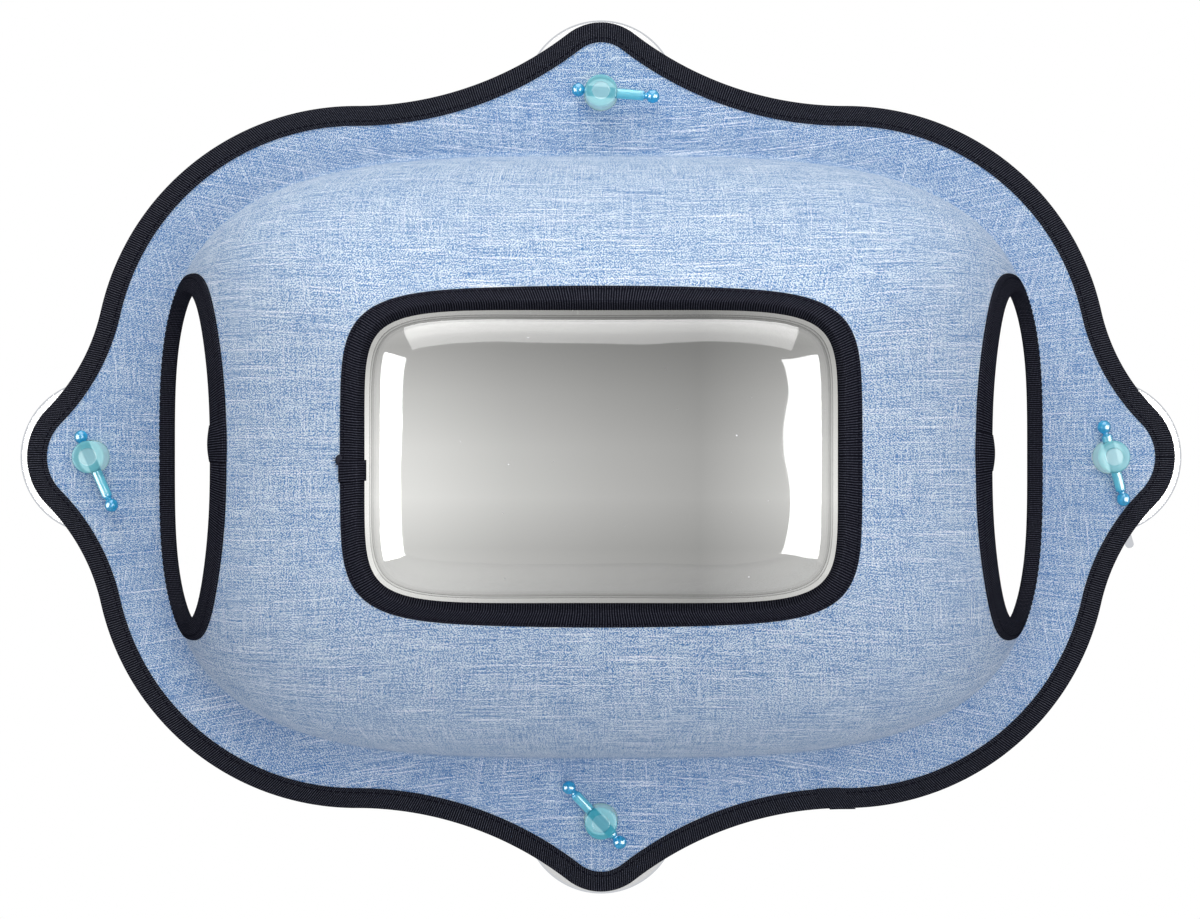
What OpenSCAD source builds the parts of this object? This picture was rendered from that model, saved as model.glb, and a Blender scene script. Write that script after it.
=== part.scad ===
// Window mounted cat perch: a moulded soft pod on a four pointed flange.
// +X is the viewer's right, +Z is up, and +Y runs away from the room to the
// window glass. The rims of the four suction cups rest on the glass at Y = 0,
// and the origin is the middle of the four cups on that plane.

/* [Flange outline] */
// Width over the two side points
overall_w = 680; // [660:1:710]
// Height over the top and bottom points
overall_h = 515; // [500:1:530]
// Distance of the rounded corners in from the side points
corner_in_x = 40; // [34:1:48]
// Distance of the rounded corners in from the top and bottom points
corner_in_z = 49.5; // [44:0.5:54]
// Radius of the four rounded corners
corner_r = 155; // [140:1:165]
// Radius of the two side points
side_tip_r = 40; // [34:1:46]
// Radius of the hollows beside the side points
side_hollow_r = 120; // [100:1:150]
// Radius of the top and bottom points
top_tip_r = 32; // [28:1:40]
// Radius of the hollows beside the top and bottom points
top_hollow_r = 205; // [170:1:240]

/* [Laminate] */
// Thickness of the woven outer fabric
fabric_t = 0.8; // [0.5:0.1:1.5]
// Thickness of the moulded foam
foam_t = 4; // [3:0.5:6]
// Thickness of the lining
lining_t = 0.8; // [0.5:0.1:1.5]

/* [Dome] */
// Distance from a side point of the flange in to the dome
side_flange_w = 80; // [76:1:88]
// Distance from the top or bottom point of the flange in to the dome
top_flange_w = 79.5; // [78:0.5:86]
// Rise of the window's edge above the flange
dome_rise = 196; // [170:1:210]
// Radius of the fillet between the flange and the dome
foot_fillet_r = 6; // [4:0.5:8]
// Squareness of the dome's plan at the flange
foot_squareness = 3.4; // [3:0.1:4]
// Share of the dome's narrowing that its straight wall makes
wall_lean = 0.25; // [0.15:0.01:0.35]
// Power that rounds the dome's shoulder
shoulder_power = 3.5; // [3:0.1:4.5]

/* [Window] */
// Width of the window's cut edge
window_w = 252.5; // [235:0.5:262]
// Height of the window's cut edge
window_h = 160.5; // [145:0.5:168]
// Squareness of the window's outline
window_squareness = 5.9; // [4.5:0.1:7]
// Gap between the window's binding and the clear bubble
bubble_gap = 2; // [1.5:0.1:4]
// Rise of the bubble's middle above the window's edge
bubble_rise = 21; // [16:0.5:28]
// Width of the bubble's rounded shoulder
bubble_shoulder = 24; // [18:1:32]
// Rise of the bubble's nearly flat front inside its shoulder
bubble_crown = 5; // [3:0.5:7]
// Power that rounds the bubble's shoulder
bubble_power = 2.3; // [2:0.1:3]
// Thickness of the bubble's plastic
bubble_t = 1; // [0.8:0.1:1.5]
// Width of the bubble's flat rim under the lining
bubble_rim_w = 9; // [7:0.5:12]

/* [Side openings] */
// Length of each side opening's cut edge
opening_l = 186; // [165:1:192]
// Depth of each side opening's cut edge, front to back
opening_d = 111; // [95:1:118]
// Distance of each side opening's cut edge above the flange
opening_foot = 25; // [18:0.5:30]
// Squareness of the side openings' outline
opening_squareness = 2.8; // [2:0.1:3.5]

/* [Binding tape] */
// Width of the flange's tape on each face
edge_tape_w = 12; // [10:0.5:13]
// Width of the window's and the side openings' tape on each face
tape_w = 9.3; // [8:0.1:12]
// Thickness of the tape
tape_t = 1; // [0.7:0.1:1.3]
// Gap between the tape and a moulded wall's cut edge
tape_gap = 0.3; // [0.25:0.05:0.5]
// Gap between the tape's inner leg and the lining
inner_gap = 0.9; // [0.8:0.05:0.95]
// Gap between a seam's thread and the tape
thread_gap = 0.05; // [0.02:0.01:0.1]
// Distance of the seam from the tape's inner edge
seam_inset = 2.2; // [1.5:0.1:3]
// Width of the seam thread
thread_w = 0.8; // [0.6:0.1:1.2]
// Height of the seam thread
thread_h = 0.4; // [0.3:0.1:0.6]

/* [Suction cups] */
// Distance of the side cups' middles in from the side points
side_cup_in = 39; // [36:0.5:44]
// Distance of the top and bottom cups' middles in from their points
top_cup_in = 42.5; // [38:0.5:46]
// Radius of a cup's rim
cup_r = 46; // [42:0.5:48]
// Width of the flat lip that rests on the glass
lip_w = 6; // [4:0.5:8]
// Thickness of the lip's edge
lip_t = 0.8; // [0.6:0.1:1.2]
// Thickness of the skirt where it meets the lip
skirt_t = 2; // [1.5:0.1:2.5]
// Depth of the hollow behind a pressed cup
hollow_depth = 3.2; // [2.5:0.1:3.8]
// Radius of the shoulder that the flange rests on
shoulder_r = 15; // [13:0.5:18]
// Height of the shoulder above the glass
shoulder_h = 9.1; // [8:0.1:11]
// Chamfer round the shoulder's edge
shoulder_chamfer = 1.8; // [1:0.1:2.5]
// Radius of the post
post_r = 9.6; // [9:0.1:10.5]
// Height of the post above the flange's front
post_rise = 15; // [14:0.5:18]
// Radius of the rounded edge of the post's face
post_edge_r = 1.5; // [0.5:0.1:2.5]
// Radius of the shallow recess in the post's face
recess_r = 4.8; // [3.5:0.1:6]
// Depth of the recess in the post's face
recess_depth = 0.6; // [0.3:0.1:1]
// Width of the pull tab
tab_w = 5; // [4:0.5:8]
// Length of the pull tab beyond the rim
tab_l = 10.5; // [5:0.5:14]
// Radial gap between the post and its hole in the flange
post_gap = 0.5; // [0.3:0.1:1]
// Gap between the shoulder and the flange
seat_gap = 0.3; // [0.2:0.05:0.4]

/* [Lock pins] */
// Radius of a pin's bar
pin_r = 3; // [2.5:0.1:3.2]
// Radius of the balls at a pin's ends
ball_r = 4; // [3.7:0.1:4.5]
// Radius of the neck between the bar and a ball
neck_r = 1.7; // [1.4:0.1:2.2]
// Length of the neck's taper
neck_taper = 1.6; // [1:0.1:3]
// Distance between the centres of a pin's balls
ball_span = 44; // [40:1:48]
// Height of the pins' axes above the flange's front
pin_rise = 8; // [7.5:0.1:8.5]
// Radial clearance between the bar and its hole
pin_fit = 0.08; // [0.05:0.01:0.1]
// Clearance between a ball and the post at the end of its travel
stop_gap = 0.3; // [0.2:0.1:0.5]

/* [Hidden] */
$fn = 64;

// Levels are heights above the glass, measured towards the room
laminate_t = fabric_t + foam_t + lining_t;
flange_back = shoulder_h + seat_gap;
flange_front = flange_back + laminate_t;
post_top = flange_front + post_rise;
pin_level = flange_front + pin_rise;

// Each cup: place, turn of its pin, share of the pin's travel and turn of its pull tab
TOP = [[0, overall_h / 2 - top_cup_in], -5, 0.9, -100];
RIGHT = [[overall_w / 2 - side_cup_in, 0], -75, 0.4, -74];
BOTTOM = [[0, top_cup_in - overall_h / 2], -47, -0.6, 110];
LEFT = [[side_cup_in - overall_w / 2, 0], -66, 0.95, 60];
CUPS = [TOP, RIGHT, BOTTOM, LEFT];

// Distance from the post's axis at which a ball meets the hole's mouth
ball_stop = post_r + sqrt(pow(ball_r, 2) - pow(pin_r + pin_fit, 2));
pin_travel = ball_span / 2 - ball_stop - stop_gap;

// Flange outline: arcs that touch, one quarter at a time
side_tip_c = [overall_w / 2 - side_tip_r, 0];
corner_c = [overall_w / 2 - corner_in_x - corner_r, overall_h / 2 - corner_in_z - corner_r];
top_tip_c = [0, overall_h / 2 - top_tip_r];
side_hollow_c = hollow_centre(side_tip_c, side_tip_r, corner_c, corner_r, side_hollow_r);
top_hollow_c = hollow_centre(corner_c, corner_r, top_tip_c, top_tip_r, top_hollow_r);

// Centre of a hollow of radius r that touches two rounds from outside
function hollow_centre(c1, r1, c2, r2, r) =
    let (gap = norm(c2 - c1),
         u = (c2 - c1) / gap,
         along = (pow(r1 + r, 2) - pow(r2 + r, 2) + pow(gap, 2)) / (2 * gap),
         across = sqrt(pow(r1 + r, 2) - pow(along, 2)))
    c1 + along * u + across * [u[1], -u[0]];

function bearing(from, to) = atan2(to[1] - from[1], to[0] - from[0]);

function arc(c, r, start, end, steps) =
    [for (i = [0 : steps]) let (a = start + (end - start) * i / steps) c + r * [cos(a), sin(a)]];

function without_first(list) = [for (i = [1 : len(list) - 1]) list[i]];

function without_last(list) = [for (i = [0 : len(list) - 2]) list[i]];

// One quarter of the outline, set in from the edge, from the side point to the top point
function outline_quarter(inset) = concat(
    arc(side_tip_c, side_tip_r - inset, 0, bearing(side_tip_c, side_hollow_c), 5),
    without_first(arc(side_hollow_c, side_hollow_r + inset,
        bearing(side_hollow_c, side_tip_c) + 360, bearing(side_hollow_c, corner_c) + 360, 4)),
    without_first(arc(corner_c, corner_r - inset,
        bearing(corner_c, side_hollow_c), bearing(corner_c, top_hollow_c), 8)),
    without_first(arc(top_hollow_c, top_hollow_r + inset,
        bearing(top_hollow_c, corner_c), bearing(top_hollow_c, top_tip_c), 6)),
    without_first(arc(top_tip_c, top_tip_r - inset, bearing(top_tip_c, top_hollow_c), 90, 5)));

function mirrored(points, sx, sz) =
    [for (i = [len(points) - 1 : -1 : 0]) [points[i][0] * sx, points[i][1] * sz]];

function outline(inset) =
    let (q = outline_quarter(inset),
         half = concat(q, without_first(mirrored(q, -1, 1))))
    concat(half, without_first(without_last(mirrored(half, 1, -1))));

// Dome: plans that shrink from the foot to the window as the height grows
foot_a = overall_w / 2 - side_flange_w;
foot_b = overall_h / 2 - top_flange_w;
shrink_a = foot_a - window_w / 2;
shrink_b = foot_b - window_h / 2;
wall_slope = wall_lean * shrink_a / dome_rise;
fillet_x = foot_a + foot_fillet_r * (sqrt(1 + pow(wall_slope, 2)) - wall_slope);
fillet_top = foot_fillet_r * (1 - sin(atan(wall_slope)));

// Profile at a height: share of the narrowing, and the profile's direction there
function profile(h) =
    h < fillet_top
    ? let (turn = acos(1 - max(h, 0) / foot_fillet_r))
        [(foot_a - fillet_x + foot_fillet_r * sin(turn)) / shrink_a,
         cos(turn) / shrink_a, sin(turn)]
    : let (t = h / dome_rise)
        [wall_lean * t + (1 - wall_lean) * pow(t, shoulder_power),
         (wall_lean + (1 - wall_lean) * shoulder_power * pow(t, shoulder_power - 1)) / dome_rise, 1];

function plan_a(s) = foot_a - shrink_a * s;
function plan_b(s) = foot_b - shrink_b * s;
function plan_n(s) = foot_squareness + (window_squareness - foot_squareness) * s;

// Share of the plan's equation, with its change when the power grows
function term(u, n) = u < 0.0001 ? 0 : pow(u, n);
function term_rate(u, n) = u < 0.0001 ? 0 : pow(u, n) * ln(u);

// Outward normal of the dome at a point [x, z] of the plan at height h
function dome_normal(x, z, h) =
    let (p = profile(h),
         a = plan_a(p[0]), b = plan_b(p[0]), n = plan_n(p[0]),
         u = abs(x) / a, v = abs(z) / b,
         rate = n * (term(u, n) * shrink_a / a + term(v, n) * shrink_b / b)
              + (window_squareness - foot_squareness) * (term_rate(u, n) + term_rate(v, n)),
         g = [sign(x) * term(u, n - 1) * n / a * p[2],
              sign(z) * term(v, n - 1) * n / b * p[2],
              rate * p[1]])
    g / norm(g);

// Plan places lie on a fine grid, so that extruded outlines and skinned loops meet exactly
GRID = 1 / 256;
function snap(v) = round(v / GRID) * GRID;

// Point of the part's frame from plan x, plan z and height above the flange's front
function place(x, z, h) = [snap(x), -(flange_front + h), snap(z)];

// Reach of a rounded oblong from its middle at angle t, with half sizes a and b and squareness n
function reach(t, a, b, n) = pow(pow(abs(cos(t)) / a, n) + pow(abs(sin(t)) / b, n), -1 / n);

// Dome point on a ray at angle t, at height h, moved out by d along the normal
function dome_point(t, h, d) =
    let (s = profile(h)[0],
         r = reach(t, plan_a(s), plan_b(s), plan_n(s)),
         x = r * cos(t), z = r * sin(t),
         g = dome_normal(x, z, h))
    place(x + d * g[0], z + d * g[1], h + d * g[2]);

// Half width of the dome at plan z and height h
function wall_x(z, h) =
    let (s = profile(h)[0], n = plan_n(s))
    plan_a(s) * pow(1 - pow(abs(z) / plan_b(s), n), 1 / n);

// Wall point that lies at plan z and height h once it is moved out by d
function wall_point(z, h, d, side) =
    let (g1 = dome_normal(wall_x(z, h), z, h),
         z1 = z - d * g1[1], h1 = h - d * g1[2],
         g2 = dome_normal(wall_x(z1, h1), z1, h1),
         z2 = z - d * g2[1], h2 = h - d * g2[2],
         g3 = dome_normal(wall_x(z2, h2), z2, h2))
    place(side * (wall_x(z2, h2) + d * g3[0]), z2 + d * g3[1], h2 + d * g3[2]);

// Rings of the dome: through the fillet, then closer together towards the window
RAYS = 72;
FILLET_RINGS = 3;
WALL_RINGS = 11;
RING_CROWDING = 1.35;
ring_heights = concat(
    [for (i = [0 : FILLET_RINGS - 1])
        foot_fillet_r * (1 - cos(acos(1 - fillet_top / foot_fillet_r) * i / FILLET_RINGS))],
    [for (i = [0 : WALL_RINGS])
        fillet_top + (dome_rise - fillet_top) * (1 - pow(1 - i / WALL_RINGS, RING_CROWDING))]);

// Closed loops of points, skinned with triangles; the last loop joins the first.
// From the turning loop on, the triangles' diagonals lean the other way, so that
// the two faces of a wall are cut into the same triangles.
module loop_skin(loops, turning) {
    n = len(loops[0]);
    m = len(loops);
    polyhedron(
        points = [for (loop = loops) for (p = loop) p],
        faces = [for (j = [0 : m - 1]) for (i = [0 : n - 1])
            let (k = (i + 1) % n, l = (j + 1) % m,
                 a = j * n + i, b = j * n + k, c = l * n + k, e = l * n + i)
            for (f = j < turning ? [[a, c, b], [a, e, c]] : [[a, e, b], [b, e, c]]) f]);
}

// Dome wall between two depths behind the outer face
module dome_wall(outer, inner) {
    loop_skin(concat(
        [for (h = ring_heights) [for (i = [0 : RAYS - 1]) dome_point(360 * i / RAYS, h, -outer)]],
        [for (j = [len(ring_heights) - 1 : -1 : 0])
            [for (i = [0 : RAYS - 1]) dome_point(360 * i / RAYS, ring_heights[j], -inner)]]),
        turning = len(ring_heights));
}

// Extrudes a drawing of the X-Z plane between two heights above the glass
module slab(low, high) {
    translate([0, -low, 0])
        rotate([90, 0, 0])
            linear_extrude(high - low) children();
}

// Plan of the dome's foot, where the fillet leaves the flange
function foot_plan() =
    [for (i = [0 : RAYS - 1]) let (p = dome_point(360 * i / RAYS, 0, 0)) [p[0], p[2]]];

// Edge of a side opening, grown outwards by k, as plan z and height
OPENING_STEPS = 48;
opening_rise = opening_foot + opening_d / 2;
function opening_edge(k, i) =
    let (a = 360 * i / OPENING_STEPS,
         r = reach(a, opening_l / 2 + k, opening_d / 2 + k, opening_squareness))
    [r * cos(a), opening_rise + r * sin(a)];

// Column through both side walls, as large as the openings
module opening_cut() {
    rotate([90, 0, 90])
        linear_extrude(overall_w, center = true)
            polygon([for (i = [0 : OPENING_STEPS - 1])
                let (e = opening_edge(0, i)) [-(flange_front + e[1]), e[0]]]);
}

// One layer of the laminate, between two depths behind the outer face
module layer(outer, inner) {
    difference() {
        union() {
            slab(flange_front - inner, flange_front - outer)
                difference() {
                    polygon(outline(tape_t));
                    polygon(foot_plan());
                }
            dome_wall(outer, inner);
        }
        opening_cut();
        for (cup = CUPS)
            translate([cup[0][0], 0, cup[0][1]])
                rotate([90, 0, 0]) cylinder(r = post_r + post_gap, h = post_top);
    }
}

module outer_fabric() {
    color("#8fb0dc") layer(0, fabric_t);
}

module foam_core() {
    color("#3a3d44") layer(fabric_t, fabric_t + foam_t);
}

module lining() {
    color("#b9c3d2") layer(fabric_t + foam_t, laminate_t);
}

// Tape folded over the flange's edge
module edge_binding() {
    color("#20222c")
        difference() {
            slab(flange_back - tape_t, flange_front + tape_t)
                difference() {
                    polygon(outline(0));
                    polygon(outline(edge_tape_w));
                }
            slab(flange_back, flange_front) polygon(outline(tape_t));
        }
}

// Rows of thread along the edge binding, one on each face
edge_seam_out = edge_tape_w - seam_inset;
edge_seam_in = edge_seam_out - thread_w;
module edge_seam() {
    color("#14151c")
        for (low = [flange_back - tape_t - thread_h, flange_front + tape_t])
            slab(low, low + thread_h)
                difference() {
                    polygon(outline(edge_seam_in));
                    polygon(outline(edge_seam_out));
                }
}

// Folded tape's section: growth over the cut edge and height over the outer face
tape_top = tape_gap + tape_t;
tape_under = -laminate_t - inner_gap;
seam_out = tape_w - seam_inset;
seam_in = seam_out - thread_w;
tape_mid = tape_w / 2;
tape_section = [
    [tape_w, tape_gap], [tape_w, tape_top], [seam_out, tape_top], [seam_in, tape_top],
    [tape_mid, tape_top], [-tape_top, tape_top], [-tape_top, tape_under - tape_t],
    [tape_mid, tape_under - tape_t], [tape_w, tape_under - tape_t], [tape_w, tape_under],
    [tape_mid, tape_under], [-tape_gap, tape_under], [-tape_gap, tape_gap],
    [tape_mid, tape_gap]];

// Thread's section on the tape
seam_low = tape_top + thread_gap;
seam_section = [
    [seam_out, seam_low], [seam_out, seam_low + thread_h],
    [seam_in, seam_low + thread_h], [seam_in, seam_low]];

// Section swept round the edge of a side opening
module opening_ring(section, side) {
    loop_skin([for (c = section)
        [for (i = [0 : OPENING_STEPS - 1])
            let (e = opening_edge(c[0], side * i)) wall_point(e[0], e[1], c[1], side)]],
        turning = len(section));
}

module opening_binding(side) { color("#20222c") opening_ring(tape_section, side); }
module opening_binding_left() { opening_binding(-1); }
module opening_binding_right() { opening_binding(1); }

module opening_seam(side) { color("#14151c") opening_ring(seam_section, side); }
module opening_seam_left() { opening_seam(-1); }
module opening_seam_right() { opening_seam(1); }

// Point near the window's edge on a ray at angle t, grown outwards by k along
// the dome and moved out by d; past the edge it stays on the edge's own cone
CONE_STEP = 2;
function window_point(t, k, d) =
    let (edge = dome_point(t, dome_rise, d),
         below = dome_point(t, dome_rise - CONE_STEP, d),
         down = (below - edge) / norm(below - edge))
    edge + k * down;

function window_loop(k, d) =
    [for (i = [0 : RAYS - 1]) window_point(360 * i / RAYS, k, d)];

// Section swept round the edge of the window
module window_ring(section) {
    loop_skin([for (c = section) window_loop(c[0], c[1])], turning = len(section));
}

module window_binding() { color("#20222c") window_ring(tape_section); }
module window_seam() { color("#14151c") window_ring(seam_section); }

// Bubble: its base stands inside the binding's fold, on a rim under the binding
rim_depth = laminate_t + inner_gap + tape_t + tape_gap;
base_in = -(tape_top + bubble_gap);
base_a = window_point(0, base_in, -rim_depth)[0];
base_b = window_point(90, base_in, -rim_depth)[2];
bubble_top = dome_rise + bubble_rise - bubble_crown;
SHOULDER_RINGS = 5;
CROWN_RINGS = 3;
CROWN_REACH = 0.97;

// Bubble point on a ray: the base point drawn in by in_a and in_b, at height h
function bubble_point(t, in_a, in_b, h) =
    let (base = window_point(t, base_in, -rim_depth))
    place(base[0] * (1 - in_a / base_a), base[2] * (1 - in_b / base_b),
        h + bubble_crown * (1 - pow(1 - in_b / base_b, 2)));

// Ring j of the shoulder, on a face that lies t inside the outer one
function shoulder_ring(j, t) =
    let (turn = 90 * j / SHOULDER_RINGS,
         inset = t + (bubble_shoulder - t) * (1 - pow(cos(turn), 2 / bubble_power)),
         rise = pow(sin(turn), 2 / bubble_power))
    [for (i = [0 : RAYS - 1])
        let (ray = 360 * i / RAYS,
             low = -window_point(ray, base_in, -rim_depth)[1] - flange_front)
        bubble_point(ray, inset, inset, low + (bubble_top - t - low) * rise)];

// Ring j of the crown, closing in on the middle
function crown_ring(j, t) =
    let (share = CROWN_REACH * j / CROWN_RINGS,
         in_a = bubble_shoulder + (base_a - bubble_shoulder) * share,
         in_b = bubble_shoulder + (base_b - bubble_shoulder) * share)
    [for (i = [0 : RAYS - 1])
        bubble_point(360 * i / RAYS, in_a, in_b, bubble_top - t)];

// Loops skinned with triangles and closed by a flat face at each end
module bag_skin(loops) {
    n = len(loops[0]);
    m = len(loops);
    polyhedron(
        points = [for (loop = loops) for (p = loop) p],
        faces = concat(
            [[for (i = [0 : n - 1]) i], [for (i = [n - 1 : -1 : 0]) (m - 1) * n + i]],
            [for (j = [0 : m - 2]) for (i = [0 : n - 1])
                let (k = (i + 1) % n,
                     a = j * n + i, b = j * n + k, c = (j + 1) * n + k, e = (j + 1) * n + i)
                for (f = [[a, c, b], [a, e, c]]) f]));
}

// Clear bubble: a rim under the binding, then a rounded shoulder and a low crown
module window_bubble() {
    color("#d5d8d6", 0.5)
        bag_skin(concat(
            [for (j = [CROWN_RINGS : -1 : 1]) crown_ring(j, bubble_t)],
            [for (j = [SHOULDER_RINGS : -1 : 1]) shoulder_ring(j, bubble_t)],
            [window_loop(base_in, -rim_depth - bubble_t),
             window_loop(bubble_rim_w, -rim_depth - bubble_t),
             window_loop(bubble_rim_w, -rim_depth),
             window_loop(base_in, -rim_depth)],
            [for (j = [1 : SHOULDER_RINGS]) shoulder_ring(j, 0)],
            [for (j = [1 : CROWN_RINGS]) crown_ring(j, 0)]));
}

// Cup in its own frame: the glass at Z = 0 and the post along +Z
HOLLOW_STEPS = 5;
lip_in = cup_r - lip_w;
module cup_body() {
    rotate_extrude()
        polygon(concat(
            [for (i = [0 : HOLLOW_STEPS]) let (u = i / HOLLOW_STEPS)
                [lip_in * u, hollow_depth * (1 - u * u)]],
            [[cup_r, 0],
             [cup_r, lip_t],
             [lip_in, skirt_t],
             [(shoulder_r + cup_r) / 2, shoulder_h / 2],
             [shoulder_r + shoulder_chamfer, shoulder_h - shoulder_chamfer],
             [shoulder_r, shoulder_h],
             [post_r, shoulder_h]],
            arc([post_r - post_edge_r, post_top - post_edge_r], post_edge_r, 0, 90, 4),
            [[recess_r + recess_depth, post_top],
             [recess_r, post_top - recess_depth],
             [0, post_top - recess_depth]]));
}

// Pull tab, reaching out past the rim along +X
module pull_tab() {
    tip_x = cup_r + tab_l - tab_w / 2;
    linear_extrude(lip_t)
        union() {
            translate([lip_in, -tab_w / 2]) square([tip_x - lip_in, tab_w]);
            translate([tip_x, 0]) circle(d = tab_w);
        }
}

// Turns a shape from its own frame to a cup's place on the glass
module at_cup(cup) {
    translate([cup[0][0], 0, cup[0][1]]) rotate([90, 0, 0]) children();
}

module suction_cup(cup) {
    color("#9fd6dc", 0.7)
        at_cup(cup)
            difference() {
                union() {
                    cup_body();
                    rotate([0, 0, cup[3]]) pull_tab();
                }
                rotate([0, 0, cup[1]])
                    translate([0, 0, pin_level])
                        rotate([0, 90, 0]) cylinder(r = pin_r + pin_fit, h = 2 * shoulder_r, center = true);
            }
}

module suction_cup_top() { suction_cup(TOP); }
module suction_cup_right() { suction_cup(RIGHT); }
module suction_cup_bottom() { suction_cup(BOTTOM); }
module suction_cup_left() { suction_cup(LEFT); }

// Half of a pin's outline, from its middle to the tip of the ball
function pin_half() =
    let (ball_c = ball_span / 2,
         neck_end = ball_c - sqrt(pow(ball_r, 2) - pow(neck_r, 2)))
    concat([[pin_r, neck_end - neck_taper]],
        arc([0, ball_c], ball_r, asin((neck_end - ball_c) / ball_r), 90, 12));

module lock_pin(cup) {
    half = pin_half();
    color("#4a9ad8", 0.8)
        at_cup(cup)
            rotate([0, 0, cup[1]])
                translate([cup[2] * pin_travel, 0, pin_level])
                    rotate([0, 90, 0])
                        rotate_extrude()
                            polygon(concat(half, [for (i = [len(half) - 1 : -1 : 0])
                                [half[i][0], -half[i][1]]]));
}

module lock_pin_top() { lock_pin(TOP); }
module lock_pin_right() { lock_pin(RIGHT); }
module lock_pin_bottom() { lock_pin(BOTTOM); }
module lock_pin_left() { lock_pin(LEFT); }

outer_fabric();
foam_core();
lining();
edge_binding();
opening_binding_left();
opening_binding_right();
window_binding();
window_bubble();
edge_seam();
opening_seam_left();
opening_seam_right();
window_seam();
suction_cup_top();
suction_cup_right();
suction_cup_bottom();
suction_cup_left();
lock_pin_top();
lock_pin_right();
lock_pin_bottom();
lock_pin_left();
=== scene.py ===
"""Dressed scene of a window mounted cat perch, built over its CAD frame.

Sizes are in millimetres unless a docstring says otherwise. X runs to the right and Z up,
and the pod stands out from the glass along -Y.
"""

import logging
import math
from bisect import bisect_right
from collections.abc import Callable, Iterable
from dataclasses import dataclass
from enum import Enum
from itertools import accumulate, pairwise

import bmesh
import bpy
from mathutils import Matrix, Vector, noise


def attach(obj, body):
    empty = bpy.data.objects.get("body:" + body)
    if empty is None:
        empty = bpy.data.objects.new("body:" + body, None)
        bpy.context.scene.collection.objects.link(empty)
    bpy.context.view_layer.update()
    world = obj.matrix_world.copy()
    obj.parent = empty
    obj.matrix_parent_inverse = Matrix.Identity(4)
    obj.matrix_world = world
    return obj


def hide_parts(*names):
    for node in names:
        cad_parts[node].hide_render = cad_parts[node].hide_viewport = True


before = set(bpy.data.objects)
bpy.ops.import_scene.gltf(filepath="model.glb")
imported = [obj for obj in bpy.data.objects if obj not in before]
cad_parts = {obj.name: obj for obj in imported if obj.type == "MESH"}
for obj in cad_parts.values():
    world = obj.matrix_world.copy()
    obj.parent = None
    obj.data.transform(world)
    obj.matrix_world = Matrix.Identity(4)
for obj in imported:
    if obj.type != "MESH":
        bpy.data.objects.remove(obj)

LOG = logging.getLogger("perch")
MM = 0.001
TURN = 2 * math.pi
QUARTER = math.radians(90)
SHELL = "shell"
UV_NAME = "weave"
SHARP_ANGLE = 40.0
PIN_LEVEL = 23.0
PLASTIC_IOR = 1.46

Point2 = tuple[float, float]
Point3 = tuple[float, float, float]
Colour = tuple[float, float, float]
Locator = Callable[[float, float, float], Vector]

WHITE: Colour = (1.0, 1.0, 1.0)


class Side(Enum):
    """Side of the pod on which an opening lies, as the sign of its X."""

    LEFT = -1
    RIGHT = 1


class Carving(Enum):
    """What the cutters of a Boolean do to the piece."""

    REMOVE = "DIFFERENCE"
    JOIN = "UNION"


class Lights(Enum):
    """What a lamp lights: every matt surface, or gloss alone."""

    MATT = "matt"
    GLOSS = "gloss"


@dataclass(frozen=True)
class Arc:
    """Arc of the flange's outline: a round when bulging, else a hollow."""

    centre: Point2
    radius: float
    bulging: bool

    def inner_radius(self, inset: float) -> float:
        """Radius of the arc once the outline is set in."""
        return self.radius - inset if self.bulging else self.radius + inset

    def reach(self, direction: Point2, inset: float) -> float:
        """Distance from the origin to the arc along a direction.

        Args:
            direction: Unit vector in the flange's plane.
            inset: Distance that the outline is set in.

        Returns:
            The distance.
        """
        cx, cz = self.centre
        along = direction[0] * cx + direction[1] * cz
        radius = self.inner_radius(inset)
        root = math.sqrt(max(along * along - cx * cx - cz * cz + radius * radius, 0.0))
        return along + root if self.bulging else along - root


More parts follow.
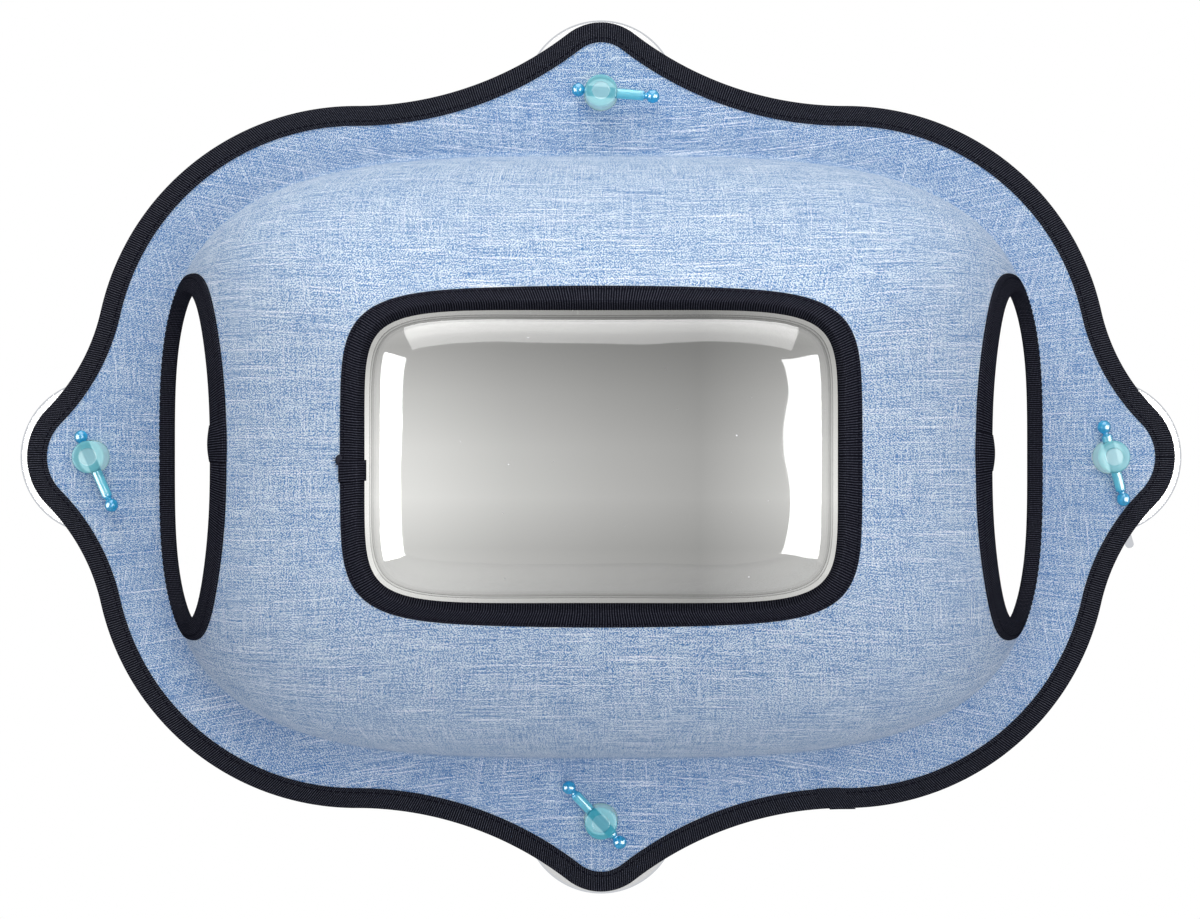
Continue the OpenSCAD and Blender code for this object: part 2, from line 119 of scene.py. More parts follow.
@dataclass(frozen=True)
class FlangeForm:
    """Four pointed outline of the flange, as arcs that touch."""

    width: float = 680.0
    height: float = 515.0
    corner_in_x: float = 40.0
    corner_in_z: float = 49.5
    corner_r: float = 155.0
    side_tip_r: float = 40.0
    side_hollow_r: float = 120.0
    top_tip_r: float = 32.0
    top_hollow_r: float = 205.0

    @staticmethod
    def _hollow(c1: Point2, r1: float, c2: Point2, r2: float, r: float) -> Point2:
        """Centre of a hollow that touches two rounds from outside.

        Args:
            c1: Centre of the first round.
            r1: Radius of the first round.
            c2: Centre of the second round.
            r2: Radius of the second round.
            r: Radius of the hollow.

        Returns:
            The centre.
        """
        dx, dz = c2[0] - c1[0], c2[1] - c1[1]
        gap = math.hypot(dx, dz)
        ux, uz = dx / gap, dz / gap
        along = ((r1 + r) ** 2 - (r2 + r) ** 2 + gap * gap) / (2 * gap)
        across = math.sqrt((r1 + r) ** 2 - along * along)
        return c1[0] + along * ux + across * uz, c1[1] + along * uz - across * ux

    def arcs(self) -> list[Arc]:
        """The five arcs of one quarter.

        Returns:
            The arcs, from the side point to the top point.
        """
        side = (self.width / 2 - self.side_tip_r, 0.0)
        corner = (
            self.width / 2 - self.corner_in_x - self.corner_r,
            self.height / 2 - self.corner_in_z - self.corner_r,
        )
        top = (0.0, self.height / 2 - self.top_tip_r)
        side_hollow = self._hollow(
            side, self.side_tip_r, corner, self.corner_r, self.side_hollow_r)
        top_hollow = self._hollow(
            corner, self.corner_r, top, self.top_tip_r, self.top_hollow_r)
        return [
            Arc(side, self.side_tip_r, True),
            Arc(side_hollow, self.side_hollow_r, False),
            Arc(corner, self.corner_r, True),
            Arc(top_hollow, self.top_hollow_r, False),
            Arc(top, self.top_tip_r, True),
        ]

    def outline(self, inset: float) -> Callable[[float], float]:
        """Polar radius of the outline, set in from its edge.

        Args:
            inset: Distance that the outline is set in.

        Returns:
            A function from a polar angle in radians to a radius.
        """
        arcs = self.arcs()
        limits = []
        for first, second in pairwise(arcs):
            dx = second.centre[0] - first.centre[0]
            dz = second.centre[1] - first.centre[1]
            share = first.inner_radius(inset) / math.hypot(dx, dz)
            limits.append(
                math.atan2(first.centre[1] + dz * share, first.centre[0] + dx * share))

        def radius_at(angle: float) -> float:
            """Radius of the outline at a polar angle.

            Args:
                angle: Polar angle, in radians.

            Returns:
                The radius.
            """
            direction = (abs(math.cos(angle)), abs(math.sin(angle)))
            folded = math.atan2(direction[1], direction[0])
            index = sum(folded > limit for limit in limits)
            return arcs[index].reach(direction, inset)

        return radius_at


def oval_r(angle: float, a: float, b: float, n: float) -> float:
    """Polar radius of an oval of half sizes a and b and power n, where 2 is an ellipse."""
    return ((abs(math.cos(angle)) / a) ** n + (abs(math.sin(angle)) / b) ** n) ** (-1 / n)


@dataclass(frozen=True)
class DomeForm:
    """Moulded dome of the pod, with heights measured from the flange's front face."""

    front: float = 15.0
    foot_a: float = 260.0
    foot_b: float = 178.0
    rise: float = 196.0
    fillet_r: float = 6.0
    foot_n: float = 3.4
    window_n: float = 5.9
    lean: float = 0.25
    power: float = 3.5
    window_w: float = 252.5
    window_h: float = 160.5
    opening_l: float = 186.0
    opening_d: float = 111.0
    opening_rise: float = 80.5
    opening_n: float = 2.8
    cone_step: float = 2.0
    least_share: float = 1e-4
    axis_width: float = 1e-9
    wall_tries: int = 4

    @property
    def shrink_a(self) -> float:
        """Narrowing of the half width from the foot to the window."""
        return self.foot_a - self.window_w / 2

    @property
    def shrink_b(self) -> float:
        """Narrowing of the half height from the foot to the window."""
        return self.foot_b - self.window_h / 2

    @property
    def slope(self) -> float:
        """Slope of the wall just above its fillet."""
        return self.lean * self.shrink_a / self.rise

    @property
    def fillet_top(self) -> float:
        """Height at which the fillet runs into the wall."""
        return self.fillet_r * (1 - math.sin(math.atan(self.slope)))

    def place(self, x: float, z: float, h: float) -> Vector:
        """Point of the frame, in metres, from plan x, plan z and height."""
        return Vector((x, -(self.front + h), z)) * MM

    def profile(self, h: float) -> tuple[float, float, float]:
        """Profile of the wall at a height.

        Args:
            h: Height above the flange's front.

        Returns:
            The share of the narrowing, and the profile's direction as share and height.
        """
        if h < self.fillet_top:
            turn = math.acos(1 - max(h, 0.0) / self.fillet_r)
            fillet_x = self.foot_a + self.fillet_r * (math.hypot(1, self.slope) - self.slope)
            share = (self.foot_a - fillet_x + self.fillet_r * math.sin(turn)) / self.shrink_a
            return share, math.cos(turn) / self.shrink_a, math.sin(turn)
        t = h / self.rise
        share = self.lean * t + (1 - self.lean) * t**self.power
        rate = self.lean + (1 - self.lean) * self.power * t ** (self.power - 1)
        return share, rate / self.rise, 1.0

    def _plan(self, share: float) -> Point3:
        """Half width, half height and power of the plan at a share of the narrowing."""
        return (
            self.foot_a - self.shrink_a * share,
            self.foot_b - self.shrink_b * share,
            self.foot_n + (self.window_n - self.foot_n) * share,
        )

    def normal(self, x: float, z: float, h: float) -> Point3:
        """Outward normal at a point of the dome.

        Args:
            x: Plan x of the point.
            z: Plan z of the point.
            h: Height above the flange's front.

        Returns:
            The unit normal, as plan x, plan z and height.
        """
        share, rise_s, rise_h = self.profile(h)
        a, b, n = self._plan(share)
        u, v = max(abs(x) / a, self.least_share), max(abs(z) / b, self.least_share)
        un, vn = u**n, v**n
        rate = n * (un * self.shrink_a / a + vn * self.shrink_b / b)
        rate += (self.window_n - self.foot_n) * (un * math.log(u) + vn * math.log(v))
        gx = math.copysign(un / u * n / a * rise_h, x) if abs(x) > self.axis_width else 0.0
        gz = math.copysign(vn / v * n / b * rise_h, z) if abs(z) > self.axis_width else 0.0
        gh = rate * rise_s
        size = math.sqrt(gx * gx + gz * gz + gh * gh)
        return gx / size, gz / size, gh / size

    def point(self, angle: float, h: float, d: float) -> Vector:
        """Dome point on a ray.

        Args:
            angle: Polar angle of the ray, in radians.
            h: Height above the flange's front.
            d: Distance moved out along the normal.

        Returns:
            The point in metres.
        """
        r = oval_r(angle, *self._plan(self.profile(h)[0]))
        x, z = r * math.cos(angle), r * math.sin(angle)
        gx, gz, gh = self.normal(x, z, h)
        return self.place(x + d * gx, z + d * gz, h + d * gh)

    def _wall_x(self, z: float, h: float) -> float:
        """Plan x of the side wall at plan z and height h."""
        a, b, n = self._plan(self.profile(h)[0])
        return a * (1 - (abs(z) / b) ** n) ** (1 / n)

    def wall_point(self, z: float, h: float, d: float, side: Side) -> Vector:
        """Point off the side wall.

        Args:
            z: Plan z of the point, once moved out.
            h: Height of the point, once moved out.
            d: Distance moved out along the normal.
            side: Side of the pod.

        Returns:
            The point in metres.
        """
        z1, h1 = z, h
        for _ in range(self.wall_tries):
            _, gz, gh = self.normal(self._wall_x(z1, h1), z1, h1)
            z1, h1 = z - d * gz, h - d * gh
        gx, gz, gh = self.normal(self._wall_x(z1, h1), z1, h1)
        x = side.value * (self._wall_x(z1, h1) + d * gx)
        return self.place(x, z1 + d * gz, h1 + d * gh)

    def window_point(self, angle: float, k: float, d: float) -> Vector:
        """Point near the window's edge.

        Args:
            angle: Polar angle, in radians.
            k: Distance grown outwards from the edge, along the wall.
            d: Distance moved out along the normal.

        Returns:
            The point in metres.
        """
        edge = self.point(angle, self.rise, d)
        below = self.point(angle, self.rise - self.cone_step, d)
        return edge + (below - edge).normalized() * k * MM

    def opening_edge(self, k: float, angle: float) -> Point2:
        """Plan z and height of a side opening's edge, grown outwards by k."""
        r = oval_r(angle, self.opening_l / 2 + k, self.opening_d / 2 + k, self.opening_n)
        return r * math.cos(angle), self.opening_rise + r * math.sin(angle)


def finish_mesh(
    bm: bmesh.types.BMesh, name: str, sharp: float = SHARP_ANGLE
) -> bpy.types.Object:
    """Turns a bmesh into a smooth shaded object of the scene.

    Args:
        bm: The mesh, freed by this call.
        name: Name of the object and its mesh.
        sharp: Angle in degrees from which an edge is kept sharp.

    Returns:
        The new object.
    """
    mesh = bpy.data.meshes.new(name)
    bm.to_mesh(mesh)
    bm.free()
    mesh.shade_smooth()
    mesh.set_sharp_from_angle(angle=math.radians(sharp))
    obj = bpy.data.objects.new(name, mesh)
    bpy.context.scene.collection.objects.link(obj)
    return obj


class RingSkin:
    """Skin that grows ring by ring round a closed path."""

    def __init__(self, count: int) -> None:
        """Starts an empty skin.

        Args:
            count: Number of points on each ring.
        """
        self.count = count
        self.rings = 0
        self.bm = bmesh.new()
        self.ray = self.bm.verts.layers.int.new("ray")
        self.ring = self.bm.verts.layers.int.new("ring")
        made = bmesh.ops.create_circle(self.bm, segments=count, radius=1.0)
        for index, vert in enumerate(made["verts"]):
            vert[self.ray] = index
        self.edges = list(self.bm.edges)
        self.verts = list(self.bm.verts)

    def add(self, points: list[Vector]) -> None:
        """Grows the skin by one ring.

        Args:
            points: The ring's points, one for each ray.
        """
        if self.rings:
            grown = bmesh.ops.extrude_edge_only(self.bm, edges=self.edges)["geom"]
            self.edges = [g for g in grown if isinstance(g, bmesh.types.BMEdge)]
            self.verts = [g for g in grown if isinstance(g, bmesh.types.BMVert)]
        for vert in self.verts:
            vert.co = points[vert[self.ray]]
            vert[self.ring] = self.rings
        self.rings += 1

    def cap(self) -> None:
        """Closes both open ends with a face."""
        ends = [e for e in self.bm.edges if e.is_boundary]
        bmesh.ops.edgeloop_fill(self.bm, edges=ends)

    def _map_uv(self, place: Callable[[int, int], Point2], closed: bool) -> None:
        """Lays a UV map over the skin.

        Args:
            place: Function from ray and ring to a UV point.
            closed: Whether the last ring joins the first.
        """
        layer = self.bm.loops.layers.uv.new(UV_NAME)
        for face in self.bm.faces:
            rays = [loop.vert[self.ray] for loop in face.loops]
            rings = [loop.vert[self.ring] for loop in face.loops]
            ray_wraps = max(rays) - min(rays) > 1
            ring_wraps = closed and max(rings) - min(rings) > 1
            for loop, ray, ring in zip(face.loops, rays, rings):
                ray = ray + self.count if ray_wraps and ray == 0 else ray
                ring = ring + self.rings if ring_wraps and ring == 0 else ring
                loop[layer].uv = place(ray, ring)

    def finish(self, name: str, uv: Callable[[int, int], Point2], closed: bool = True,
               sharp: float = SHARP_ANGLE) -> bpy.types.Object:
        """Makes the object.

        Args:
            name: Name of the object.
            uv: Function from ray and ring to a UV point.
            closed: Whether the last ring joins the first.
            sharp: Angle in degrees from which an edge is kept sharp.

        Returns:
            The new object, in the scene.
        """
        if closed:
            first = [e for e in self.bm.edges if all(v[self.ring] == 0 for v in e.verts)]
            bmesh.ops.bridge_loops(self.bm, edges=first + self.edges)
        self._map_uv(uv, closed)
        bmesh.ops.recalc_face_normals(self.bm, faces=self.bm.faces)
        return finish_mesh(self.bm, name, sharp)


def lathe(points: list[Point3], axis: Point3, steps: int) -> bmesh.types.BMesh:
    """Turns an open outline into a closed solid about an axis through the origin.

    Args:
        points: Points of the outline, with both ends on the axis.
        axis: Direction of the axis.
        steps: Number of steps round.

    Returns:
        The solid, in metres.
    """
    bm = bmesh.new()
    verts = [bm.verts.new((x * MM, y * MM, z * MM)) for x, y, z in points]
    edges = [bm.edges.new(pair) for pair in pairwise(verts)]
    bmesh.ops.spin(bm, geom=verts + edges, cent=(0, 0, 0), axis=axis, dvec=(0, 0, 0),
                   angle=TURN, steps=steps, use_merge=True)
    bmesh.ops.remove_doubles(bm, verts=bm.verts, dist=1e-7)
    bmesh.ops.recalc_face_normals(bm, faces=bm.faces)
    return bm


def add_rod(bm: bmesh.types.BMesh, radii: Point2, length: float, matrix: Matrix,
            segments: int = 64) -> None:
    """Adds a closed rod along its own Z to a mesh.

    Args:
        bm: Mesh that the rod is added to.
        radii: Radius at the rod's start and at its end.
        length: Length of the rod.
        matrix: Place of its middle.
        segments: Number of sides.
    """
    bmesh.ops.create_cone(bm, segments=segments, radius1=radii[0] * MM, radius2=radii[1] * MM,
                          depth=length * MM, cap_ends=True, matrix=matrix)


def carve(obj: bpy.types.Object, cutters: list[bpy.types.Object], carving: Carving) -> None:
    """Applies Booleans to an object and removes the cutters.

    Args:
        obj: Object whose mesh is changed.
        cutters: Objects that cut it or join it.
        carving: What the cutters do.
    """
    for cutter in cutters:
        modifier = obj.modifiers.new("cut", "BOOLEAN")
        modifier.operation = carving.value
        modifier.solver = "EXACT"
        modifier.object = cutter
    evaluated = obj.evaluated_get(bpy.context.evaluated_depsgraph_get())
    mesh = bpy.data.meshes.new_from_object(evaluated)
    mesh.name = obj.name
    obj.modifiers.clear()
    obj.data = mesh
    mesh.set_sharp_from_angle(angle=math.radians(SHARP_ANGLE))
    for cutter in cutters:
        bpy.data.objects.remove(cutter)


def settle(obj: bpy.types.Object, matrix: Matrix) -> None:
    """Moves an object's mesh to its place and leaves the object at the origin."""
    obj.data.transform(matrix)
    obj.data.update()


def hand_over(obj: bpy.types.Object, body: str, slot: str, material: bpy.types.Material,
              *nodes: str) -> None:
    """Gives an object its finish, its body and the CAD nodes it stands for.

    Args:
        obj: The dressed object.
        body: CAD body that it moves with.
        slot: Material slot of the record; not used.
        material: Its material.
        *nodes: CAD nodes that it replaces.
    """
    obj.data.materials.clear()
    obj.data.materials.append(material)
    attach(obj, body)
    if nodes:
        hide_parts(*nodes)
    LOG.info("built %s on %s", obj.name, body)


class Field:
    """Value in a node tree. Sums, products and comparisons of it add math nodes."""

    def __init__(self, graph: "NodeGraph", socket: bpy.types.NodeSocket) -> None:
        """Keeps the value's graph and its socket."""
        self.graph = graph
        self.socket = socket

    def __add__(self, other: "Operand") -> "Field":
        """Sum."""
        return self.graph.math("ADD", self, other)

    def __sub__(self, other: "Operand") -> "Field":
        """Difference."""
        return self.graph.math("SUBTRACT", self, other)

    def __rsub__(self, other: float) -> "Field":
        """Difference from a number."""
        return self.graph.math("SUBTRACT", other, self)

    def __mul__(self, other: "Operand") -> "Field":
        """Product."""
        return self.graph.math("MULTIPLY", self, other)

    def __truediv__(self, other: "Operand") -> "Field":
        """Quotient."""
        return self.graph.math("DIVIDE", self, other)

    def __lt__(self, other: "Operand") -> "Field":
        """One where the value is the smaller, else zero."""
        return self.graph.math("LESS_THAN", self, other)

    def __gt__(self, other: "Operand") -> "Field":
        """One where the value is the larger, else zero."""
        return self.graph.math("GREATER_THAN", self, other)


Operand = Field | float


def opaque(colour: Colour) -> tuple[float, float, float, float]:
    """Colour with a full alpha."""
    return (*colour, 1.0)


class NodeGraph:
    """Short hand for building the node tree of a material or a world."""

    def __init__(self, owner: bpy.types.ID, output: str = "OutputMaterial") -> None:
        """Empties the owner's tree and gives it an output.

        Args:
            owner: Material or world that the tree belongs to.
            output: Type of the output node, without its common prefix.
        """
        owner.use_nodes = True
        self.owner = owner
        self.tree = owner.node_tree
        self.tree.nodes.clear()
        self.output = self.tree.nodes.new("ShaderNode" + output)

    def add(self, kind: str, links: dict | None = None, output: int | str = 0,
            **settings: object) -> Field:
        """Adds a node.

        Args:
            kind: Type of the node, without its common prefix.
            links: Values for the node's inputs, by name or index.
            output: Name or index of the output that is given back.
            **settings: Attributes set on the node.

        Returns:
            The value at the output.
        """
        node = self.tree.nodes.new("ShaderNode" + kind)
        for key, value in settings.items():
            setattr(node, key, value)
        for key, value in (links or {}).items():
            if isinstance(value, Field):
                self.tree.links.new(value.socket, node.inputs[key])
            else:
                node.inputs[key].default_value = value
        return Field(self, node.outputs[output])

    def math(self, operation: str, a: Operand, b: Operand = 0.0, clamp: bool = False) -> Field:
        """Result of a math node."""
        return self.add("Math", {0: a, 1: b}, operation=operation, use_clamp=clamp)

    def wave(self, phase: Field) -> Field:
        """Sine wave between 0 and 1."""
        return self.math("SINE", phase) * 0.5 + 0.5

    def mix(self, factor: Field, a: Field | tuple, b: Field | tuple) -> Field:
        """Mix of two colours."""
        return self.add("Mix", {0: factor, 6: a, 7: b}, output=2, data_type="RGBA")

    def blend(self, factor: Operand, a: Field, b: Field) -> Field:
        """Mix of two shaders."""
        return self.add("MixShader", {0: factor, 1: a, 2: b})

    def fresnel(self, most: float) -> Field:
        """Share of gloss on plastic, up to a most."""
        return self.math("MINIMUM", self.add("Fresnel", {"IOR": PLASTIC_IOR}), most)

    def gloss(self, roughness: float) -> Field:
        """White gloss."""
        return self.add("BsdfGlossy", {"Color": opaque(WHITE), "Roughness": roughness})

    def bump(self, height: Field, strength: float, distance: float) -> Field:
        """Normal of a bumped surface, with the distance in metres."""
        return self.add("Bump", {"Height": height, "Strength": strength, "Distance": distance})

    def ramp(self, factor: Field, stops: list[Point2]) -> Field:
        """Maps a value through grey stops.

        Args:
            factor: Value from 0 to 1.
            stops: Position and grey of each stop.

        Returns:
            The grey.
        """
        grey = self.add("ValToRGB", {0: factor})
        elements = grey.socket.node.color_ramp.elements
        while len(elements) < len(stops):
            elements.new(0.5)
        for element, (position, value) in zip(elements, stops):
            element.position = position
            element.color = (value, value, value, 1.0)
        return grey

    def streaks(self, source: Field, scale: Point3, detail: float = 0.0,
                seed: float = 0.0) -> Field:
        """Noise on scaled coordinates.

        Args:
            source: Coordinates.
            scale: Streaks in a metre, along each axis.
            detail: Detail of the noise.
            seed: Offset of the noise.

        Returns:
            The noise, about 0 to 1.
        """
        offset = (seed, seed * 0.7, seed * 1.3)
        mapped = self.add("Mapping", {"Vector": source, "Scale": scale, "Location": offset})
        return self.add("TexNoise", {"Vector": mapped, "Scale": 1.0, "Detail": detail})

    def split(self, source: Field) -> tuple[Field, ...]:
        """The three parts of a vector."""
        parts = self.add("SeparateXYZ", {0: source}).socket.node.outputs
        return tuple(Field(self, part) for part in parts)

    def uv(self) -> Field:
        """The piece's own UV map."""
        return self.add("UVMap", uv_map=UV_NAME)

    def place(self) -> Field:
        """The piece's own coordinates, in metres."""
        return self.add("TexCoord", output="Object")

    def finish(self, shader: Field) -> bpy.types.ID:
        """Joins a shader to the output and returns the tree's owner."""
        self.tree.links.new(shader.socket, self.output.inputs["Surface"])
        return self.owner


@dataclass(frozen=True)
class Finish:
    """Finish of one of the pod's materials."""

    name: str

    def shade(self, g: NodeGraph) -> Field:
        """Builds the finish's shader in a material's graph."""
        raise NotImplementedError

    def material(self) -> bpy.types.Material:
        """Builds the material."""
        g = NodeGraph(bpy.data.materials.new(self.name))
        return g.finish(self.shade(g))


@dataclass(frozen=True)
class WeaveFinish(Finish):
    """Plain weave of blue and white yarns, with white slubs, on the UV in metres.

    The cloth is darker, with less contrast, where it lies flat near the glass, and brighter, with
    more contrast, further out on the dome.
    """

    deep: Colour
    pale: Colour
    white: Colour
    yarn: float = 0.62
    check: float = 1.3
    weft_streaks: float = 80.0
    warp_streaks: float = 90.0
    weft_slubs: float = 26.0
    warp_slubs: float = 30.0
    dark_slubs: float = 24.0
    patches: Point2 = (35.0, 170.0)
    slub: float = 0.75
    flat_y: float = 0.018
    drawn_y: float = 0.060
    flat_dark: float = 0.15
    flat_depth: float = 0.88
    drawn_more: float = 0.75

    def _checks(self, g: NodeGraph, uv: Field) -> Field:
        """Checks of the weave, where weft and warp pass over each other in turn."""
        across, upward = (
            g.math("SINE", part * (TURN / (self.check * MM))) for part in g.split(uv)[:2])
        return across * upward

    def shade(self, g: NodeGraph) -> Field:
        """Builds the weave.

        Args:
            g: Graph of the material.

        Returns:
            The shader.
        """
        uv = g.uv()
        fine = 1 / (self.yarn * MM)
        weft = g.streaks(uv, (self.weft_streaks, fine, 1.0), seed=3.1)
        warp = g.streaks(uv, (fine, self.warp_streaks, 1.0), seed=11.7)
        grain = g.streaks(uv, (fine * 1.1, fine * 1.3, 1.0), seed=5.3)
        weft_slub = g.streaks(uv, (self.weft_slubs, fine, 1.0), seed=21.0)
        warp_slub = g.streaks(uv, (fine, self.warp_slubs, 1.0), seed=37.0)
        dark_slub = g.streaks(uv, (self.dark_slubs, fine * 0.9, 1.0), seed=63.0)
        patch = g.streaks(uv, (*self.patches, 1.0), detail=1.0, seed=51.0)
        base = self._checks(g, uv) * 0.3
        for field, share in ((weft, 0.9), (warp, 0.65), (grain, 3.8), (patch, 0.2)):
            base = base + (field - 0.5) * share
        drawn = g.add("MapRange", {
            0: g.split(g.place())[1], 1: -self.flat_y, 2: -self.drawn_y, 3: 0.0, 4: 1.0})
        base = base * (drawn * self.drawn_more + self.flat_depth)
        base = base + (drawn * self.flat_dark + (0.5 - self.flat_dark))
        blue = g.mix(g.ramp(base, [(0.0, 0.0), (1.0, 1.0)]), opaque(self.deep), opaque(self.pale))
        blue = g.mix(g.ramp(dark_slub, [(0.66, 0.0), (0.78, 0.55)]), blue, opaque(self.deep))
        slubs = g.math("MAXIMUM", g.ramp(weft_slub, [(0.66, 0.0), (0.76, 1.0)]),
                       g.ramp(warp_slub, [(0.68, 0.0), (0.78, 1.0)]) * 0.7)
        broken = g.ramp(grain, [(0.35, 0.3), (0.6, 1.0)])
        colour = g.mix(slubs * broken * self.slub, blue, opaque(self.white))
        height = (weft + warp) * 0.5 + slubs * 0.3
        return g.add("BsdfPrincipled", {
            "Base Color": colour, "Roughness": 0.95, "Specular IOR Level": 0.1,
            "Sheen Weight": 0.05, "Normal": g.bump(height, 0.3, 0.0002)})


@dataclass(frozen=True)
class TapeFinish(Finish):
    """Ribbed binding tape. The UV runs along the tape and across it, in metres."""

    name: str = "binding_tape"
    valley: Colour = (0.0035, 0.0038, 0.0065)
    crest: Colour = (0.125, 0.130, 0.160)
    pitch: float = 1.35
    thread_pitch: float = 0.8
    rib_power: float = 2.2

    def shade(self, g: NodeGraph) -> Field:
        """Builds the ribs and their threads.

        Args:
            g: Graph of the material.

        Returns:
            The shader.
        """
        uv = g.uv()
        along, across = g.split(uv)[:2]
        wander = g.streaks(uv, (120.0, 90.0, 1.0), detail=2.0, seed=7.0)
        ribs = g.wave(along * (TURN / (self.pitch * MM)) + wander * 5.0)
        rib = g.math("POWER", ribs, self.rib_power)
        thread = g.wave(across * (TURN / (self.thread_pitch * MM)))
        speckle = g.streaks(uv, (1500.0, 1500.0, 1.0), detail=1.0, seed=13.0)
        light = rib * (thread * 0.85 + 0.2) * g.ramp(speckle, [(0.35, 0.45), (0.65, 1.0)])
        return g.add("BsdfPrincipled", {
            "Base Color": g.mix(light, opaque(self.valley), opaque(self.crest)),
            "Roughness": 0.9, "Specular IOR Level": 0.0,
            "Normal": g.bump(rib + thread * 0.35, 0.7, 0.0003)})


@dataclass(frozen=True)
class PlainFinish(Finish):
    """Solid finish with a little mottling on the object's own coordinates."""

    colour: Colour
    roughness: float
    mottle: float
    grain: float
    specular: float

    def shade(self, g: NodeGraph) -> Field:
        """Builds the mottled colour.

        Args:
            g: Graph of the material.

        Returns:
            The shader.
        """
        mottling = g.streaks(g.place(), (self.grain,) * 3, detail=2.0, seed=1.0)
        dark = tuple(c * (1 - self.mottle) for c in self.colour)
        return g.add("BsdfPrincipled", {
            "Base Color": g.mix(mottling, opaque(dark), opaque(self.colour)),
            "Roughness": self.roughness, "Specular IOR Level": self.specular})


@dataclass(frozen=True)
class PaintedShadeWindowFinish(Finish):
    """Thin clear plastic, greyed by painted shade. The UV's V is the distance in from its rim.

    How much shows through is the product of a ramp across, a ramp upwards and a rim: painted shade
    of the pod's inside, darker towards the upper right, and painted light and dark lines along the
    rim in place of its edge's reflections.
    """

    name: str = "clear_window"
    half_w: float = 0.125
    half_h: float = 0.080
    most_gloss: float = 0.14
    speck_r: float = 0.035
    speck_share: float = 0.6
    tint: Colour = (1.0, 1.0, 0.985)

    def shade(self, g: NodeGraph) -> Field:
        """Builds the painted shade, the gloss and the dust.

        Args:
            g: Graph of the material.

        Returns:
            The shader.
        """
        coords = g.place()
        x, _, z = g.split(coords)
        # Painted shade: these ramps let less show through right of the middle and near the top,
        # standing in for the shaded inside of the pod.
        across = g.ramp(x * (0.5 / self.half_w) + 0.5, [
            (0.0, 0.92), (0.06, 0.89), (0.15, 0.85), (0.32, 0.75), (0.50, 0.673), (0.70, 0.61),
            (0.83, 0.72), (0.93, 0.80), (1.0, 0.82)])
        upward = g.ramp(z * (0.5 / self.half_h) + 0.5, [
            (0.0, 0.90), (0.08, 0.93), (0.21, 0.887), (0.37, 1.0), (0.53, 0.957), (0.70, 0.84),
            (0.85, 0.70), (1.0, 0.80)])
        # Painted reflections: a bright margin and a thin dark line along the rim.
        rim = g.ramp(g.split(g.uv())[1] * 100.0, [
            (0.0, 1.15), (0.025, 1.15), (0.04, 0.60), (0.065, 0.60), (0.09, 1.0), (1.0, 1.0)])
        clear = g.math("MULTIPLY", across * upward, rim, clamp=True)
        through = g.add("BsdfTransparent", {
            "Color": g.mix(clear, (0.0, 0.0, 0.0, 1.0), opaque(self.tint))})
        clean = g.blend(g.fresnel(self.most_gloss), through, g.gloss(0.06))
        dust = g.add("TexVoronoi", {"Vector": coords, "Scale": 70.0}, output="Distance")
        speck = g.add("BsdfDiffuse", {"Color": (0.9, 0.9, 0.9, 1.0)})
        return g.blend((dust < self.speck_r) * self.speck_share, clean, speck)


@dataclass(frozen=True)
class PlasticFinish(Finish):
    """Soft tinted plastic of the cups.

    The UV is the distance from the cup's axis and the height, in metres. The thick post is
    milky and lets a little light through, with a painted highlight paling its recess. The thin
    skirt is nearly clear, and its edge shows as a fine line without gloss.
    """

    colour: Colour
    # Colour of the painted highlight in the recess.
    pale: Colour
    skirt_clear: float = 0.985
    # Share of the painted highlight that pales the recess.
    painted_recess_glint: float = 0.45
    skirt_h: float = 0.0088
    recess_r: float = 0.0052
    recess_h: float = 0.029
    edge_r: float = 0.0450
    edge_tint: Colour = (0.76, 0.77, 0.79)
    through_tint: Colour = (0.66, 0.93, 0.97)
    through_share: float = 0.35
    most_gloss: float = 0.03

    def _post(self, g: NodeGraph, out: Field, height: Field) -> Field:
        """Builds the milky post.

        Args:
            g: Graph of the material.
            out: Distance from the cup's axis.
            height: Height over the glass.

        Returns:
            The shader.
        """
        cloud = g.streaks(g.place(), (90.0,) * 3, detail=1.0, seed=2.0)
        dark = tuple(c * 0.8 for c in self.colour)
        colour = g.mix(cloud, opaque(dark), opaque(self.colour))
        # Painted highlight: the recess is mixed towards the pale colour.
        recess = (out < self.recess_r) * (height > self.recess_h)
        milky = g.add("BsdfPrincipled", {
            "Base Color": g.mix(recess * self.painted_recess_glint, colour, opaque(self.pale)),
            "Roughness": 0.2, "IOR": PLASTIC_IOR, "Specular IOR Level": 0.15,
            "Coat Weight": 0.05, "Coat Roughness": 0.12})
        through = g.add("BsdfTransparent", {"Color": opaque(self.through_tint)})
        return g.blend(self.through_share, milky, through)

    def shade(self, g: NodeGraph) -> Field:
        """Builds the post and the skirt.

        Args:
            g: Graph of the material.

        Returns:
            The shader.
        """
        out, height = g.split(g.uv())[:2]
        edge = out > self.edge_r
        tint = g.mix(edge, opaque((self.skirt_clear,) * 3), opaque(self.edge_tint))
        clear = g.add("BsdfTransparent", {"Color": tint})
        skirt = g.blend(g.fresnel(self.most_gloss) * (1.0 - edge), clear, g.gloss(0.15))
        return g.blend(height > self.skirt_h, skirt, self._post(g, out, height))


@dataclass(frozen=True)
class PinFinish(Finish):
    """Translucent blue plastic, paler along the bar. The UV's U runs along it in metres."""

    bar: Colour
    ball: Colour
    neck_at: float = 0.0175

    def shade(self, g: NodeGraph) -> Field:
        """Builds the two blues.

        Args:
            g: Graph of the material.

        Returns:
            The shader.
        """
        share = g.math("ABSOLUTE", g.split(g.uv())[0]) / self.neck_at
        balls = g.ramp(share, [(0.0, 0.0), (0.8, 0.15), (1.0, 1.0)])
        return g.add("BsdfPrincipled", {
            "Base Color": g.mix(balls, opaque(self.bar), opaque(self.ball)), "Roughness": 0.14,
            "IOR": PLASTIC_IOR, "Transmission Weight": 0.35, "Coat Weight": 0.3,
            "Coat Roughness": 0.1})


